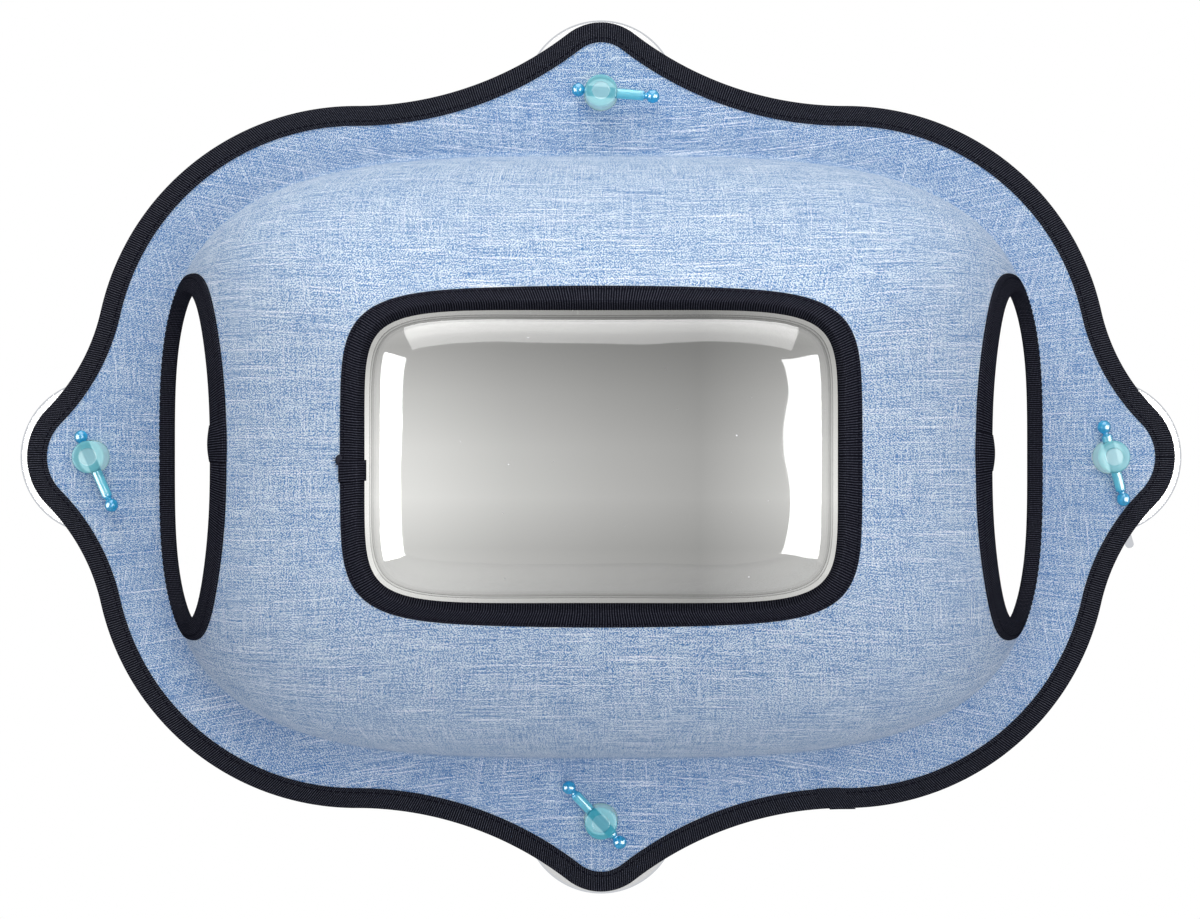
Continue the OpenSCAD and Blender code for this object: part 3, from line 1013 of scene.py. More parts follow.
@dataclass(frozen=True)
class CupPlace:
    """Place of a suction cup, with the turns in degrees and the travel of what it carries."""

    key: str
    x: float
    z: float
    pin_turn: float
    pin_share: float
    tab_turn: float
    # Whether the cup takes the plastic copy with painted shade: a greyer skirt and a darker teal,
    # for the cup under the flange's shadow.
    painted_shade: bool = False

    def matrix(self) -> Matrix:
        """Turns a cup's own frame, with its post along +Z, to its place on the glass."""
        middle = Matrix.Translation(Vector((self.x, 0.0, self.z)) * MM)
        return middle @ Matrix.Rotation(QUARTER, 4, "X")

    def pin_matrix(self) -> Matrix:
        """Turn of the pin in the cup's own frame."""
        return Matrix.Rotation(math.radians(self.pin_turn), 4, "Z")


CUPS = (
    CupPlace("top", 0.0, 215.0, -5.0, 0.9, -100.0),
    CupPlace("right", 301.0, 0.0, -75.0, 0.4, -74.0),
    CupPlace("bottom", 0.0, -215.0, -47.0, -0.6, 110.0, painted_shade=True),
    CupPlace("left", -301.0, 0.0, -66.0, 0.95, 60.0),
)


@dataclass(frozen=True)
class LaminateLayer:
    """One layer of the moulded wall, between two depths behind its outer face."""

    node: str
    slot: str
    outer: float
    inner: float
    rays: int = 360
    flange_rings: int = 12
    fillet_rings: int = 5
    wall_rings: int = 34
    wall_power: float = 1.25
    edge_in: float = 1.2
    drawn_in: float = 30.0
    drawn_over: float = 82.0
    window_draw: float = 6.0
    post_hole_r: float = 10.1
    opening_segments: int = 128

    def heights(self, form: DomeForm) -> list[float]:
        """Heights of the dome's rings.

        Args:
            form: Form of the dome.

        Returns:
            The heights, from the foot to the window.
        """
        last = math.acos(1 - form.fillet_top / form.fillet_r)
        fillet = [form.fillet_r * (1 - math.cos(last * i / self.fillet_rings))
                  for i in range(self.fillet_rings)]
        span = form.rise - form.fillet_top
        wall = [form.fillet_top + span * (1 - (1 - i / self.wall_rings) ** self.wall_power)
                for i in range(self.wall_rings + 1)]
        return fillet + wall

    def _face(self, form: DomeForm, flange: FlangeForm, depth: float) -> list[list[Vector]]:
        """Rings of one face of the layer.

        Args:
            form: Form of the dome.
            flange: Form of the flange.
            depth: Depth of the face behind the wall's outer face.

        Returns:
            The rings, from the flange's edge to the window.
        """
        edge = flange.outline(self.edge_in)
        angles = [TURN * i / self.rays for i in range(self.rays)]
        rings = []
        for j in range(self.flange_rings):
            ring = []
            for angle in angles:
                foot = form.point(angle, 0.0, 0.0)
                r0, r1 = edge(angle), math.hypot(foot.x, foot.z) / MM
                r = r0 + (r1 - r0) * j / self.flange_rings
                ring.append(form.place(r * math.cos(angle), r * math.sin(angle), -depth))
            rings.append(ring)
        for h in self.heights(form):
            rings.append([form.point(angle, h, -depth) for angle in angles])
        return rings

    def _weave(self, rings: list[list[Vector]]) -> list[list[float]]:
        """Distances on the flat cloth from its middle.

        Args:
            rings: Rings of the layer's outer face.

        Returns:
            The distance in metres for each ring and ray.
        """
        cloth = [[0.0] * self.rays for _ in rings]
        foot, top = self.flange_rings, len(rings) - 1
        drawn = self.drawn_in * MM
        for i in range(self.rays):
            radii = [math.hypot(ring[i].x, ring[i].z) for ring in rings]
            steps = [(rings[j][i] - rings[j + 1][i]).length for j in range(foot, top)]
            start, end = radii[foot] + drawn, radii[top] + self.window_draw * MM
            for j in range(foot + 1):
                share = max(0.0, 1 - (radii[j] - radii[foot]) / (self.drawn_over * MM))
                cloth[j][i] = radii[j] + drawn * share
            length = sum(steps)
            for j, run in enumerate(accumulate(steps), foot + 1):
                cloth[j][i] = start + (end - start) * run / length
        return cloth

    def build(self, form: DomeForm, flange: FlangeForm) -> bpy.types.Object:
        """Builds the layer with its holes.

        Args:
            form: Form of the dome.
            flange: Form of the flange.

        Returns:
            The new object.
        """
        outer = self._face(form, flange, self.outer)
        inner = self._face(form, flange, self.inner)
        cloth = self._weave(outer)
        skin = RingSkin(self.rays)
        for ring in outer + inner[::-1]:
            skin.add(ring)
        total = 2 * len(outer)

        def uv(ray: int, ring: int) -> Point2:
            """Place on the flat cloth.

            Args:
                ray: Number of the ray.
                ring: Number of the ring.

            Returns:
                The place in metres.
            """
            ring = ring % total
            level = ring if ring < len(outer) else total - 1 - ring
            angle = TURN * ray / self.rays
            r = cloth[level][ray % self.rays]
            return r * math.cos(angle), r * math.sin(angle)

        obj = skin.finish(f"dressed_{self.node}", uv)
        carve(obj, self._cutters(form), Carving.REMOVE)
        return obj

    def _cutters(self, form: DomeForm) -> list[bpy.types.Object]:
        """Cutters of the post holes and the side openings.

        Args:
            form: Form of the dome.

        Returns:
            The two cutters. One bar, clear of the pod at both ends, cuts both openings.
        """
        hole_l, hole_y, bar_half, bar_l = 60.0, -15.0, 400.0, 0.8
        bm = bmesh.new()
        for cup in CUPS:
            middle = Matrix.Translation(Vector((cup.x, hole_y, cup.z)) * MM)
            add_rod(bm, (self.post_hole_r,) * 2, hole_l, middle @ Matrix.Rotation(QUARTER, 4, "X"))
        holes = finish_mesh(bm, "post_holes")
        bm = bmesh.new()
        made = bmesh.ops.create_circle(
            bm, segments=self.opening_segments, radius=1.0, cap_ends=True)
        for index, vert in enumerate(made["verts"]):
            z, h = form.opening_edge(0.0, TURN * index / self.opening_segments)
            vert.co = form.place(-bar_half, z, h)
        swept = bmesh.ops.extrude_face_region(bm, geom=bm.faces[:])["geom"]
        moved = [g for g in swept if isinstance(g, bmesh.types.BMVert)]
        bmesh.ops.translate(bm, verts=moved, vec=(bar_l, 0.0, 0.0))
        bmesh.ops.recalc_face_normals(bm, faces=bm.faces)
        return [holes, finish_mesh(bm, "opening_holes")]


def rounded(points: list[Point3], steps: int) -> list[Point2]:
    """Closed section with rounded corners.

    Args:
        points: Corners as (k, d, radius), in order.
        steps: Segments of each rounding.

    Returns:
        The section's points.
    """
    most_reach = 0.48
    out: list[Point2] = []
    for i, (k, d, radius) in enumerate(points):
        corner = Vector((k, d))
        before = Vector(points[i - 1][:2]) - corner
        after = Vector(points[(i + 1) % len(points)][:2]) - corner
        if radius <= 0:
            out.append((k, d))
            continue
        half = before.angle(after) / 2
        reach = min(radius / math.tan(half), before.length * most_reach,
                    after.length * most_reach)
        start, end = corner + before.normalized() * reach, corner + after.normalized() * reach
        for j in range(steps + 1):
            t = j / steps
            point = start * (1 - t) ** 2 + corner * 2 * t * (1 - t) + end * t * t
            out.append((point.x, point.y))
    return out


@dataclass(frozen=True)
class TapeSection:
    """Section of the folded binding tape over the dome's cut edges."""

    width: float = 9.3
    thick: float = 1.0
    gap: float = 0.3
    under: float = 6.5
    fold_r: float = 2.2
    inner_r: float = 0.4
    edge_r: float = 0.3
    steps: int = 5

    def points(self) -> list[Point2]:
        """Points of the section, with its outer leg pulled down a little at its edge.

        Returns:
            The points, as growth over the cut edge and height over the outer face.
        """
        top, low = self.gap + self.thick, -self.under
        half, foot = self.width * 0.5, low - self.thick
        return rounded([
            (self.width, self.gap - 0.15, 0.2), (self.width, top - 0.1, 0.5),
            (self.width * 0.66, top, 0.0), (self.width * 0.33, top + 0.05, 0.0),
            (-top, top + 0.05, self.fold_r), (-top - 0.15, (top + low) / 2, 0.0),
            (-top, foot, self.fold_r), (half, foot, 0.0), (self.width, foot, self.edge_r),
            (self.width, low, self.edge_r), (half, low, 0.0), (-self.gap, low, self.inner_r),
            (-self.gap, self.gap, self.inner_r), (half, self.gap - 0.1, 0.0)], self.steps)


@dataclass(frozen=True)
class EdgeTapeSection:
    """Section of the wider tape over the flange's edge, with its outside moved out."""

    grow: float = 0.0
    width: float = 12.0
    top: float = 0.98
    low: float = -6.6
    steps: int = 5

    def points(self) -> list[Point2]:
        """Points of the section.

        Returns:
            The points, as distance in from the edge and height over the flange's face.
        """
        top, low, out = self.top + self.grow, self.low - self.grow, -self.grow
        side = self.width + self.grow / 2
        return rounded([
            (side, 0.08, 0.2), (side, top - 0.1, 0.5), (8.0, top, 0.0), (4.0, top, 0.0),
            (out, top, 1.8), (out, -2.8, 0.0), (out, low, 1.8), (6.0, low, 0.0),
            (side, low, 0.3), (side, -5.7, 0.2), (6.0, -5.7, 0.0), (0.85, -5.7, 0.2),
            (0.85, 0.08, 0.2), (6.0, 0.08, 0.0)], self.steps)


@dataclass(frozen=True)
class Loop:
    """Closed path along which a tape or a seam runs.

    Its length is measured on a middle line, at growth mid_k and height mid_d.
    """

    place: Locator
    steps: int
    mid_k: float = 4.6
    mid_d: float = 1.3
    band_steps: int = 12
    swell_from: float = 0.08
    swell_over: float = 0.84
    stitch_pitch: float = 3.9
    stitch_l: float = 2.7
    stitch_w: float = 0.75
    batch: int = 30

    def ring(self, k: float, d: float) -> list[Vector]:
        """Points of the path at a growth and a height."""
        return [self.place(TURN * i / self.steps, k, d) for i in range(self.steps)]

    def lengths(self, k: float, d: float) -> list[float]:
        """Distance along the path to each point, closing at the start."""
        points = self.ring(k, d)
        return self._run((b - a).length for a, b in pairwise(points + points[:1]))

    @staticmethod
    def _run(steps: Iterable[float]) -> list[float]:
        """Distances at the ends of a row of steps, from 0."""
        return list(accumulate(steps, initial=0.0))

    def _across(self, section: list[Point2]) -> list[float]:
        """Distances round a section, in metres."""
        corners = pairwise(section + section[:1])
        return self._run(math.hypot(k1 - k0, d1 - d0) * MM for (k0, d0), (k1, d1) in corners)

    def tape(self, section: list[Point2], name: str) -> bpy.types.Object:
        """Sweeps a closed section round the path.

        Args:
            section: Points of the section, as growth and height.
            name: Name of the object.

        Returns:
            The new object.
        """
        skin = RingSkin(self.steps)
        for k, d in section:
            skin.add(self.ring(k, d))
        run, across = self.lengths(self.mid_k, self.mid_d), self._across(section)
        return skin.finish(name, lambda ray, ring: (run[ray], across[ring]))

    def band(self, section: list[Point2], span: Point2, name: str,
             low: list[Point2] | None = None) -> bpy.types.Object:
        """Sweeps a closed section along part of the path, with closed ends.

        Args:
            section: Points of the section, as growth and height.
            span: First and last polar angle, in degrees.
            name: Name of the object.
            low: Section that the band swells from at both ends, if it does.

        Returns:
            The new object.
        """
        start, end = map(math.radians, span)
        skin = RingSkin(len(section))
        middles = []
        for i in range(self.band_steps + 1):
            angle = start + (end - start) * i / self.band_steps
            bow = math.pi * (self.swell_from + self.swell_over * i / self.band_steps)
            swell = math.sin(bow) if low else 1.0
            skin.add([self.place(angle, k0 + (k - k0) * swell, d0 + (d - d0) * swell)
                      for (k, d), (k0, d0) in zip(section, low or section)])
            middles.append(self.place(angle, self.mid_k, self.mid_d))
        run = self._run((b - a).length for a, b in pairwise(middles))
        across = self._across(section)
        skin.cap()
        return skin.finish(name, lambda ray, ring: (run[ring], across[ray]), False)

    def frame_at(self, distance: float, k: float, d: float, run: list[float]) -> Matrix:
        """Frame on the path: X along it, Z out of the surface.

        Args:
            distance: Distance along the path, in metres.
            k: Growth.
            d: Height.
            run: Distances along the path to its points.

        Returns:
            The frame.
        """
        angle_step, height_step = 0.002, 0.5
        distance = distance % run[-1]
        index = min(bisect_right(run, distance), self.steps) - 1
        share = (distance - run[index]) / (run[index + 1] - run[index])
        angle = TURN * (index + share) / self.steps
        here = self.place(angle, k, d)
        ahead = self.place(angle + angle_step, k, d) - self.place(angle - angle_step, k, d)
        out = self.place(angle, k, d + height_step) - here
        x_axis = ahead.normalized()
        z_axis = (out - x_axis * out.dot(x_axis)).normalized()
        rotation = Matrix((x_axis, z_axis.cross(x_axis), z_axis)).transposed().to_4x4()
        return Matrix.Translation(here) @ rotation

    def stitches(self, rows: Iterable[Point2], name: str) -> bpy.types.Object:
        """Rows of stitches round the path.

        Args:
            rows: Growth and height of each row.
            name: Name of the object.

        Returns:
            One object with every stitch.
        """
        half_l, half_w = self.stitch_l * MM / 2, self.stitch_w * MM / 2
        size = Matrix.Diagonal((half_l, half_w, self.stitch_w * MM * 0.4, 1.0))
        whole = bmesh.new()
        for k, d in rows:
            run = self.lengths(k, d)
            count = round(run[-1] / (self.stitch_pitch * MM))
            for first in range(0, count, self.batch):
                part = bmesh.new()
                for i in range(first, min(first + self.batch, count)):
                    turned = (self.frame_at(run[-1] * i / count, k, d, run) @ size
                              @ Matrix.Rotation(math.pi / 2, 4, "Y"))
                    bmesh.ops.create_uvsphere(
                        part, u_segments=8, v_segments=6, radius=1.0, matrix=turned)
                mesh = bpy.data.meshes.new("part")
                part.to_mesh(mesh)
                part.free()
                whole.from_mesh(mesh)
                bpy.data.meshes.remove(mesh)
        return finish_mesh(whole, name, 180.0)


@dataclass(frozen=True)
class TapeJoint:
    """Turned under end of a tape over its start, with a few frayed threads.

    The joint runs between two polar angles of the loop, in degrees.
    """

    key: str
    first: float
    last: float
    threads: int = 0
    spread: float = 0.9
    thread_l: float = 4.6
    thread_r: float = 0.3
    knob_r: float = 2.3
    fray_k: float = 9.3
    fray_d: float = 0.9

    def build(self, loop: Loop, section: list[Point2],
              low: list[Point2] | None = None) -> bpy.types.Object:
        """Builds the overlap and its threads as one object.

        Args:
            loop: Path that the tape follows.
            section: Section of the overlap.
            low: Section that the overlap swells from at both ends, if it does.

        Returns:
            The new object.
        """
        band = loop.band(section, (self.first, self.last), f"tape_joint_{self.key}", low)
        if self.threads:
            bm = bmesh.new()
            bm.from_mesh(band.data)
            self._fray(bm, loop)
            bm.to_mesh(band.data)
            bm.free()
        return band

    def _fray(self, bm: bmesh.types.BMesh, loop: Loop) -> None:
        """Adds the knob of the cut end and its threads to the overlap.

        Args:
            bm: Mesh of the overlap.
            loop: Path that the tape follows.
        """
        angle = math.radians(self.first)
        root = loop.place(angle, self.fray_k, self.fray_d)
        out = (loop.place(angle, self.fray_k + 1.0, self.fray_d) - root).normalized()
        up = (loop.place(angle, self.fray_k, self.fray_d + 1.0) - root).normalized()
        side = out.cross(up)
        knob = Matrix.Translation(root) @ Matrix.Diagonal((1.0, 0.6, 1.3, 1.0))
        bmesh.ops.create_icosphere(bm, subdivisions=3, radius=self.knob_r * MM, matrix=knob)
        for i in range(self.threads):
            turn = self.spread * (2 * i / (self.threads - 1) - 1)
            lift = 0.25 + 0.35 * math.sin(2.4 * i)
            length = self.thread_l * (0.75 + 0.25 * math.cos(1.7 * i))
            aim = (out * math.cos(turn) + side * math.sin(turn) + up * lift).normalized()
            middle = Matrix.Translation(root + aim * length * MM / 2)
            turned = aim.to_track_quat("Z", "Y").to_matrix().to_4x4()
            add_rod(bm, (self.thread_r, self.thread_r * 0.4), length, middle @ turned, 8)


@dataclass(frozen=True)
class Bubble:
    """Clear bubble of the window, standing inside the binding's fold."""

    rim_depth: float = 7.8
    base_in: float = -3.3
    rim_w: float = 9.0
    rise: float = 21.0
    shoulder: float = 24.0
    crown: float = 5.0
    crown_share: float = 0.985
    thick: float = 1.0
    power: float = 2.3
    rays: int = 288
    shoulder_rings: int = 16
    crown_rings: int = 14
    wave: float = 1.1
    wave_l: float = 40.0
    sharp: float = 50.0

    def _point(self, form: DomeForm, angle: float, inset: float, share: float,
               h: float) -> Vector:
        """Point of the bubble, with its crown and its faint ripple.

        Args:
            form: Form of the dome.
            angle: Polar angle, in radians.
            inset: Distance in from the base.
            share: Share of the way from the shoulder to the middle.
            h: Height over the flange's front, without the crown.

        Returns:
            The point in metres.
        """
        base = form.window_point(angle, self.base_in, -self.rim_depth)
        wide = form.window_point(0.0, self.base_in, -self.rim_depth).x / MM
        tall = form.window_point(math.pi / 2, self.base_in, -self.rim_depth).z / MM
        in_a = inset + (wide - self.shoulder) * share
        in_b = inset + (tall - self.shoulder) * share
        bulge = self.crown * (1 - (1 - in_b / tall) ** 2)
        x, z = base.x / MM * (1 - in_a / wide), base.z / MM * (1 - in_b / tall)
        ripple = self.wave * min(in_a / self.shoulder, 1.0) * noise.noise(
            Vector((x, z, 0.0)) / self.wave_l)
        return form.place(x, z, h + bulge + ripple)

    def _face(self, form: DomeForm, t: float) -> list[list[Vector]]:
        """Rings of one face of the bubble.

        Args:
            form: Form of the dome.
            t: Distance of the face behind the outer face.

        Returns:
            The rings, from the rim to the middle.
        """
        angles = [TURN * i / self.rays for i in range(self.rays)]
        top = form.rise + self.rise - self.crown
        rings = [[form.window_point(a, k, -self.rim_depth - t) for a in angles]
                 for k in (self.rim_w, self.base_in)]
        lows = [-form.window_point(a, self.base_in, -self.rim_depth).y / MM - form.front
                for a in angles]
        for j in range(1, self.shoulder_rings + 1):
            turn = math.pi / 2 * j / self.shoulder_rings
            narrowed = 1 - max(math.cos(turn), 0.0) ** (2 / self.power)
            inset = t + (self.shoulder - t) * narrowed
            rise = math.sin(turn) ** (2 / self.power)
            rings.append([self._point(form, a, inset, 0.0, low + (top - t - low) * rise)
                          for a, low in zip(angles, lows)])
        for j in range(1, self.crown_rings + 1):
            share = self.crown_share * j / self.crown_rings
            rings.append([self._point(form, a, self.shoulder, share, top - t) for a in angles])
        return rings

    def build(self, form: DomeForm) -> bpy.types.Object:
        """Builds the bubble with both its faces.

        Args:
            form: Form of the dome.

        Returns:
            The new object.
        """
        skin = RingSkin(self.rays)
        outer, inner = self._face(form, 0.0), self._face(form, self.thick)
        for ring in inner[::-1] + outer:
            skin.add(ring)
        skin.cap()
        rim = form.window_point(0.0, self.base_in, -self.rim_depth).x
        insets = [max(rim - ring[0].x, 0.0) for ring in outer]
        last = len(outer) - 1
        return skin.finish(
            "dressed_window_bubble",
            lambda ray, ring: (ray / self.rays, insets[max(last - ring, ring - last - 1)]),
            False, self.sharp)


@dataclass(frozen=True)
class SuctionCup:
    """Suction cup with its post, pressed on the glass."""

    rim_r: float = 46.0
    lip_w: float = 6.0
    lip_t: float = 0.8
    skirt_t: float = 2.0
    hollow: float = 3.2
    hollow_steps: int = 8
    round_steps: int = 4
    shoulder_r: float = 15.0
    shoulder_h: float = 9.1
    shoulder_edge: float = 1.8
    post_r: float = 9.6
    post_top: float = 30.0
    recess_r: float = 4.8
    recess_depth: float = 0.6
    tab_w: float = 5.0
    tab_l: float = 10.5
    tab_round: float = 2.3
    hole_r: float = 3.08
    hole_l: float = 30.0
    steps: int = 128

    def profile(self) -> list[Point2]:
        """Outline of the turned body.

        Returns:
            The points, from the hollow's middle round to the post's face.
        """
        lip_in = self.rim_r - self.lip_w
        shares = [i / self.hollow_steps for i in range(self.hollow_steps)]
        hollow = [(lip_in * share, self.hollow * (1 - share**2)) for share in shares]
        body = rounded([
            (0.0, self.hollow, 0.0), (lip_in, 0.0, 0.0), (self.rim_r, 0.0, 0.2),
            (self.rim_r, self.lip_t, 0.35), (lip_in, self.skirt_t, 2.0),
            ((self.shoulder_r + self.rim_r) / 2, self.shoulder_h / 2, 6.0),
            (self.shoulder_r + self.shoulder_edge, self.shoulder_h - self.shoulder_edge, 1.0),
            (self.shoulder_r, self.shoulder_h, 0.8), (self.post_r, self.shoulder_h, 0.3),
            (self.post_r, self.post_top, 1.5),
            (self.recess_r + self.recess_depth, self.post_top, 0.3),
            (self.recess_r, self.post_top - self.recess_depth, 0.3),
            (0.0, self.post_top - self.recess_depth, 0.0)], self.round_steps)
        return hollow + body[1:]

    def build(self, cup: CupPlace) -> bpy.types.Object:
        """Builds the cup at its place.

        Args:
            cup: Place of the cup.

        Returns:
            The new object.
        """
        bm = lathe([(r, 0.0, h) for r, h in self.profile()], (0, 0, 1), self.steps)
        obj = finish_mesh(bm, f"dressed_suction_cup_{cup.key}")
        hole = bmesh.new()
        add_rod(hole, (self.hole_r,) * 2, self.hole_l,
                cup.pin_matrix() @ Matrix.Translation((0, 0, PIN_LEVEL * MM))
                @ Matrix.Rotation(QUARTER, 4, "Y"))
        carve(obj, [finish_mesh(hole, "pin_hole")], Carving.REMOVE)
        carve(obj, [self._tab(cup)], Carving.JOIN)
        self._map(obj)
        settle(obj, cup.matrix())
        return obj

    @staticmethod
    def _map(obj: bpy.types.Object) -> None:
        """Lays each corner's distance from the axis and its height on the UV map.

        Args:
            obj: The cup, in its own frame.
        """
        for layer in list(obj.data.uv_layers):
            obj.data.uv_layers.remove(layer)
        layer = obj.data.uv_layers.new(name=UV_NAME)
        for loop in obj.data.loops:
            co = obj.data.vertices[loop.vertex_index].co
            layer.data[loop.index].uv = (math.hypot(co.x, co.y), co.z)

    def _tab(self, cup: CupPlace) -> bpy.types.Object:
        """Builds the pull tab, with its two outer corners rounded.

        Args:
            cup: Place of the cup.

        Returns:
            The tab, in the cup's own frame.
        """
        bm = bmesh.new()
        start, tip = self.rim_r - self.lip_w / 2, self.rim_r + self.tab_l
        middle = Matrix.Translation(((start + tip) / 2 * MM, 0.0, self.lip_t / 2 * MM))
        size = Matrix.Diagonal(((tip - start) * MM, self.tab_w * MM, self.lip_t * MM, 1.0))
        bmesh.ops.create_cube(bm, size=1.0, matrix=middle @ size)
        corners = [e for e in bm.edges if all(v.co.x > self.rim_r * MM for v in e.verts)
                   and abs(e.verts[0].co.z - e.verts[1].co.z) > 1e-6]
        bmesh.ops.bevel(bm, geom=corners, offset=self.tab_round * MM, affect="EDGES",
                        segments=8, profile=0.5, material=-1)
        bmesh.ops.rotate(bm, verts=bm.verts, cent=(0, 0, 0),
                         matrix=Matrix.Rotation(math.radians(cup.tab_turn), 3, "Z"))
        return finish_mesh(bm, "tab")


@dataclass(frozen=True)
class LockPin:
    """Pin with a ball at each end, that slides through a post."""

    bar_r: float = 3.0
    bar_edge: float = 0.5
    ball_r: float = 4.0
    ball_steps: int = 24
    neck_r: float = 1.7
    neck_flare: float = 0.1
    flare_share: float = 0.55
    bar_steps: int = 3
    edge_steps: int = 4
    taper: float = 1.6
    span: float = 44.0
    travel: float = 9.548
    steps: int = 64
    sharp: float = 60.0

    def profile(self) -> list[Point2]:
        """Outline of half the pin.

        Returns:
            The points from the middle to the tip, as radius and distance.
        """
        ball_c = self.span / 2
        neck = ball_c - math.sqrt(self.ball_r**2 - self.neck_r**2)
        shank, edge = neck - self.taper, self.bar_edge
        points = [(self.bar_r, shank * i / self.bar_steps) for i in range(self.bar_steps)]
        for i in range(self.edge_steps + 1):
            turn = math.pi / 2 * i / self.edge_steps
            points.append((self.bar_r - edge * (1 - math.cos(turn)),
                           shank - edge + edge * math.sin(turn)))
        points.append((self.neck_r + self.neck_flare, shank + self.taper * self.flare_share))
        start = math.asin((neck - ball_c) / self.ball_r)
        for i in range(self.ball_steps):
            turn = start + (math.pi / 2 - start) * i / self.ball_steps
            points.append(
                (self.ball_r * math.cos(turn), ball_c + self.ball_r * math.sin(turn)))
        return points + [(0.0, ball_c + self.ball_r)]

    def build(self, cup: CupPlace) -> bpy.types.Object:
        """Builds the pin at its place.

        Args:
            cup: Place of the cup that carries it.

        Returns:
            The new object.
        """
        half = self.profile()
        outline = [(r, -x) for r, x in half[::-1]] + half[1:]
        bm = lathe([(x, 0.0, r) for r, x in outline], (1, 0, 0), self.steps)
        layer = bm.loops.layers.uv.new(UV_NAME)
        for face in bm.faces:
            for loop in face.loops:
                co = loop.vert.co
                loop[layer].uv = (co.x, math.atan2(co.y, co.z) * self.bar_r * MM)
        obj = finish_mesh(bm, f"dressed_lock_pin_{cup.key}", self.sharp)
        slid = (cup.pin_share * self.travel * MM, 0.0, PIN_LEVEL * MM)
        settle(obj, cup.matrix() @ cup.pin_matrix() @ Matrix.Translation(slid))
        return obj


@dataclass(frozen=True)
class Binding:
    """Tape, seam and taped joint over one cut edge of the wall.

    The names of its nodes are made from a pattern with a place for binding or seam.
    """

    nodes: str
    loop: Loop
    section: list[Point2]
    rows: tuple[Point2, ...]
    joint: TapeJoint
    overlap: list[Point2]
    low: list[Point2] | None = None

    def dress(self, tape: bpy.types.Material, thread: bpy.types.Material) -> None:
        """Builds the tape, its seam and its joint and hands them over.

        Args:
            tape: Material of the tape.
            thread: Material of the seam.
        """
        node = self.nodes.format("binding")
        ring = self.loop.tape(self.section, f"dressed_{node}")
        hand_over(ring, SHELL, "binding_tape", tape, node)
        node = self.nodes.format("seam")
        seam = self.loop.stitches(self.rows, f"dressed_{node}")
        hand_over(seam, SHELL, "thread", thread, node)
        joint = self.joint.build(self.loop, self.overlap, self.low)
        hand_over(joint, SHELL, "binding_tape", tape)


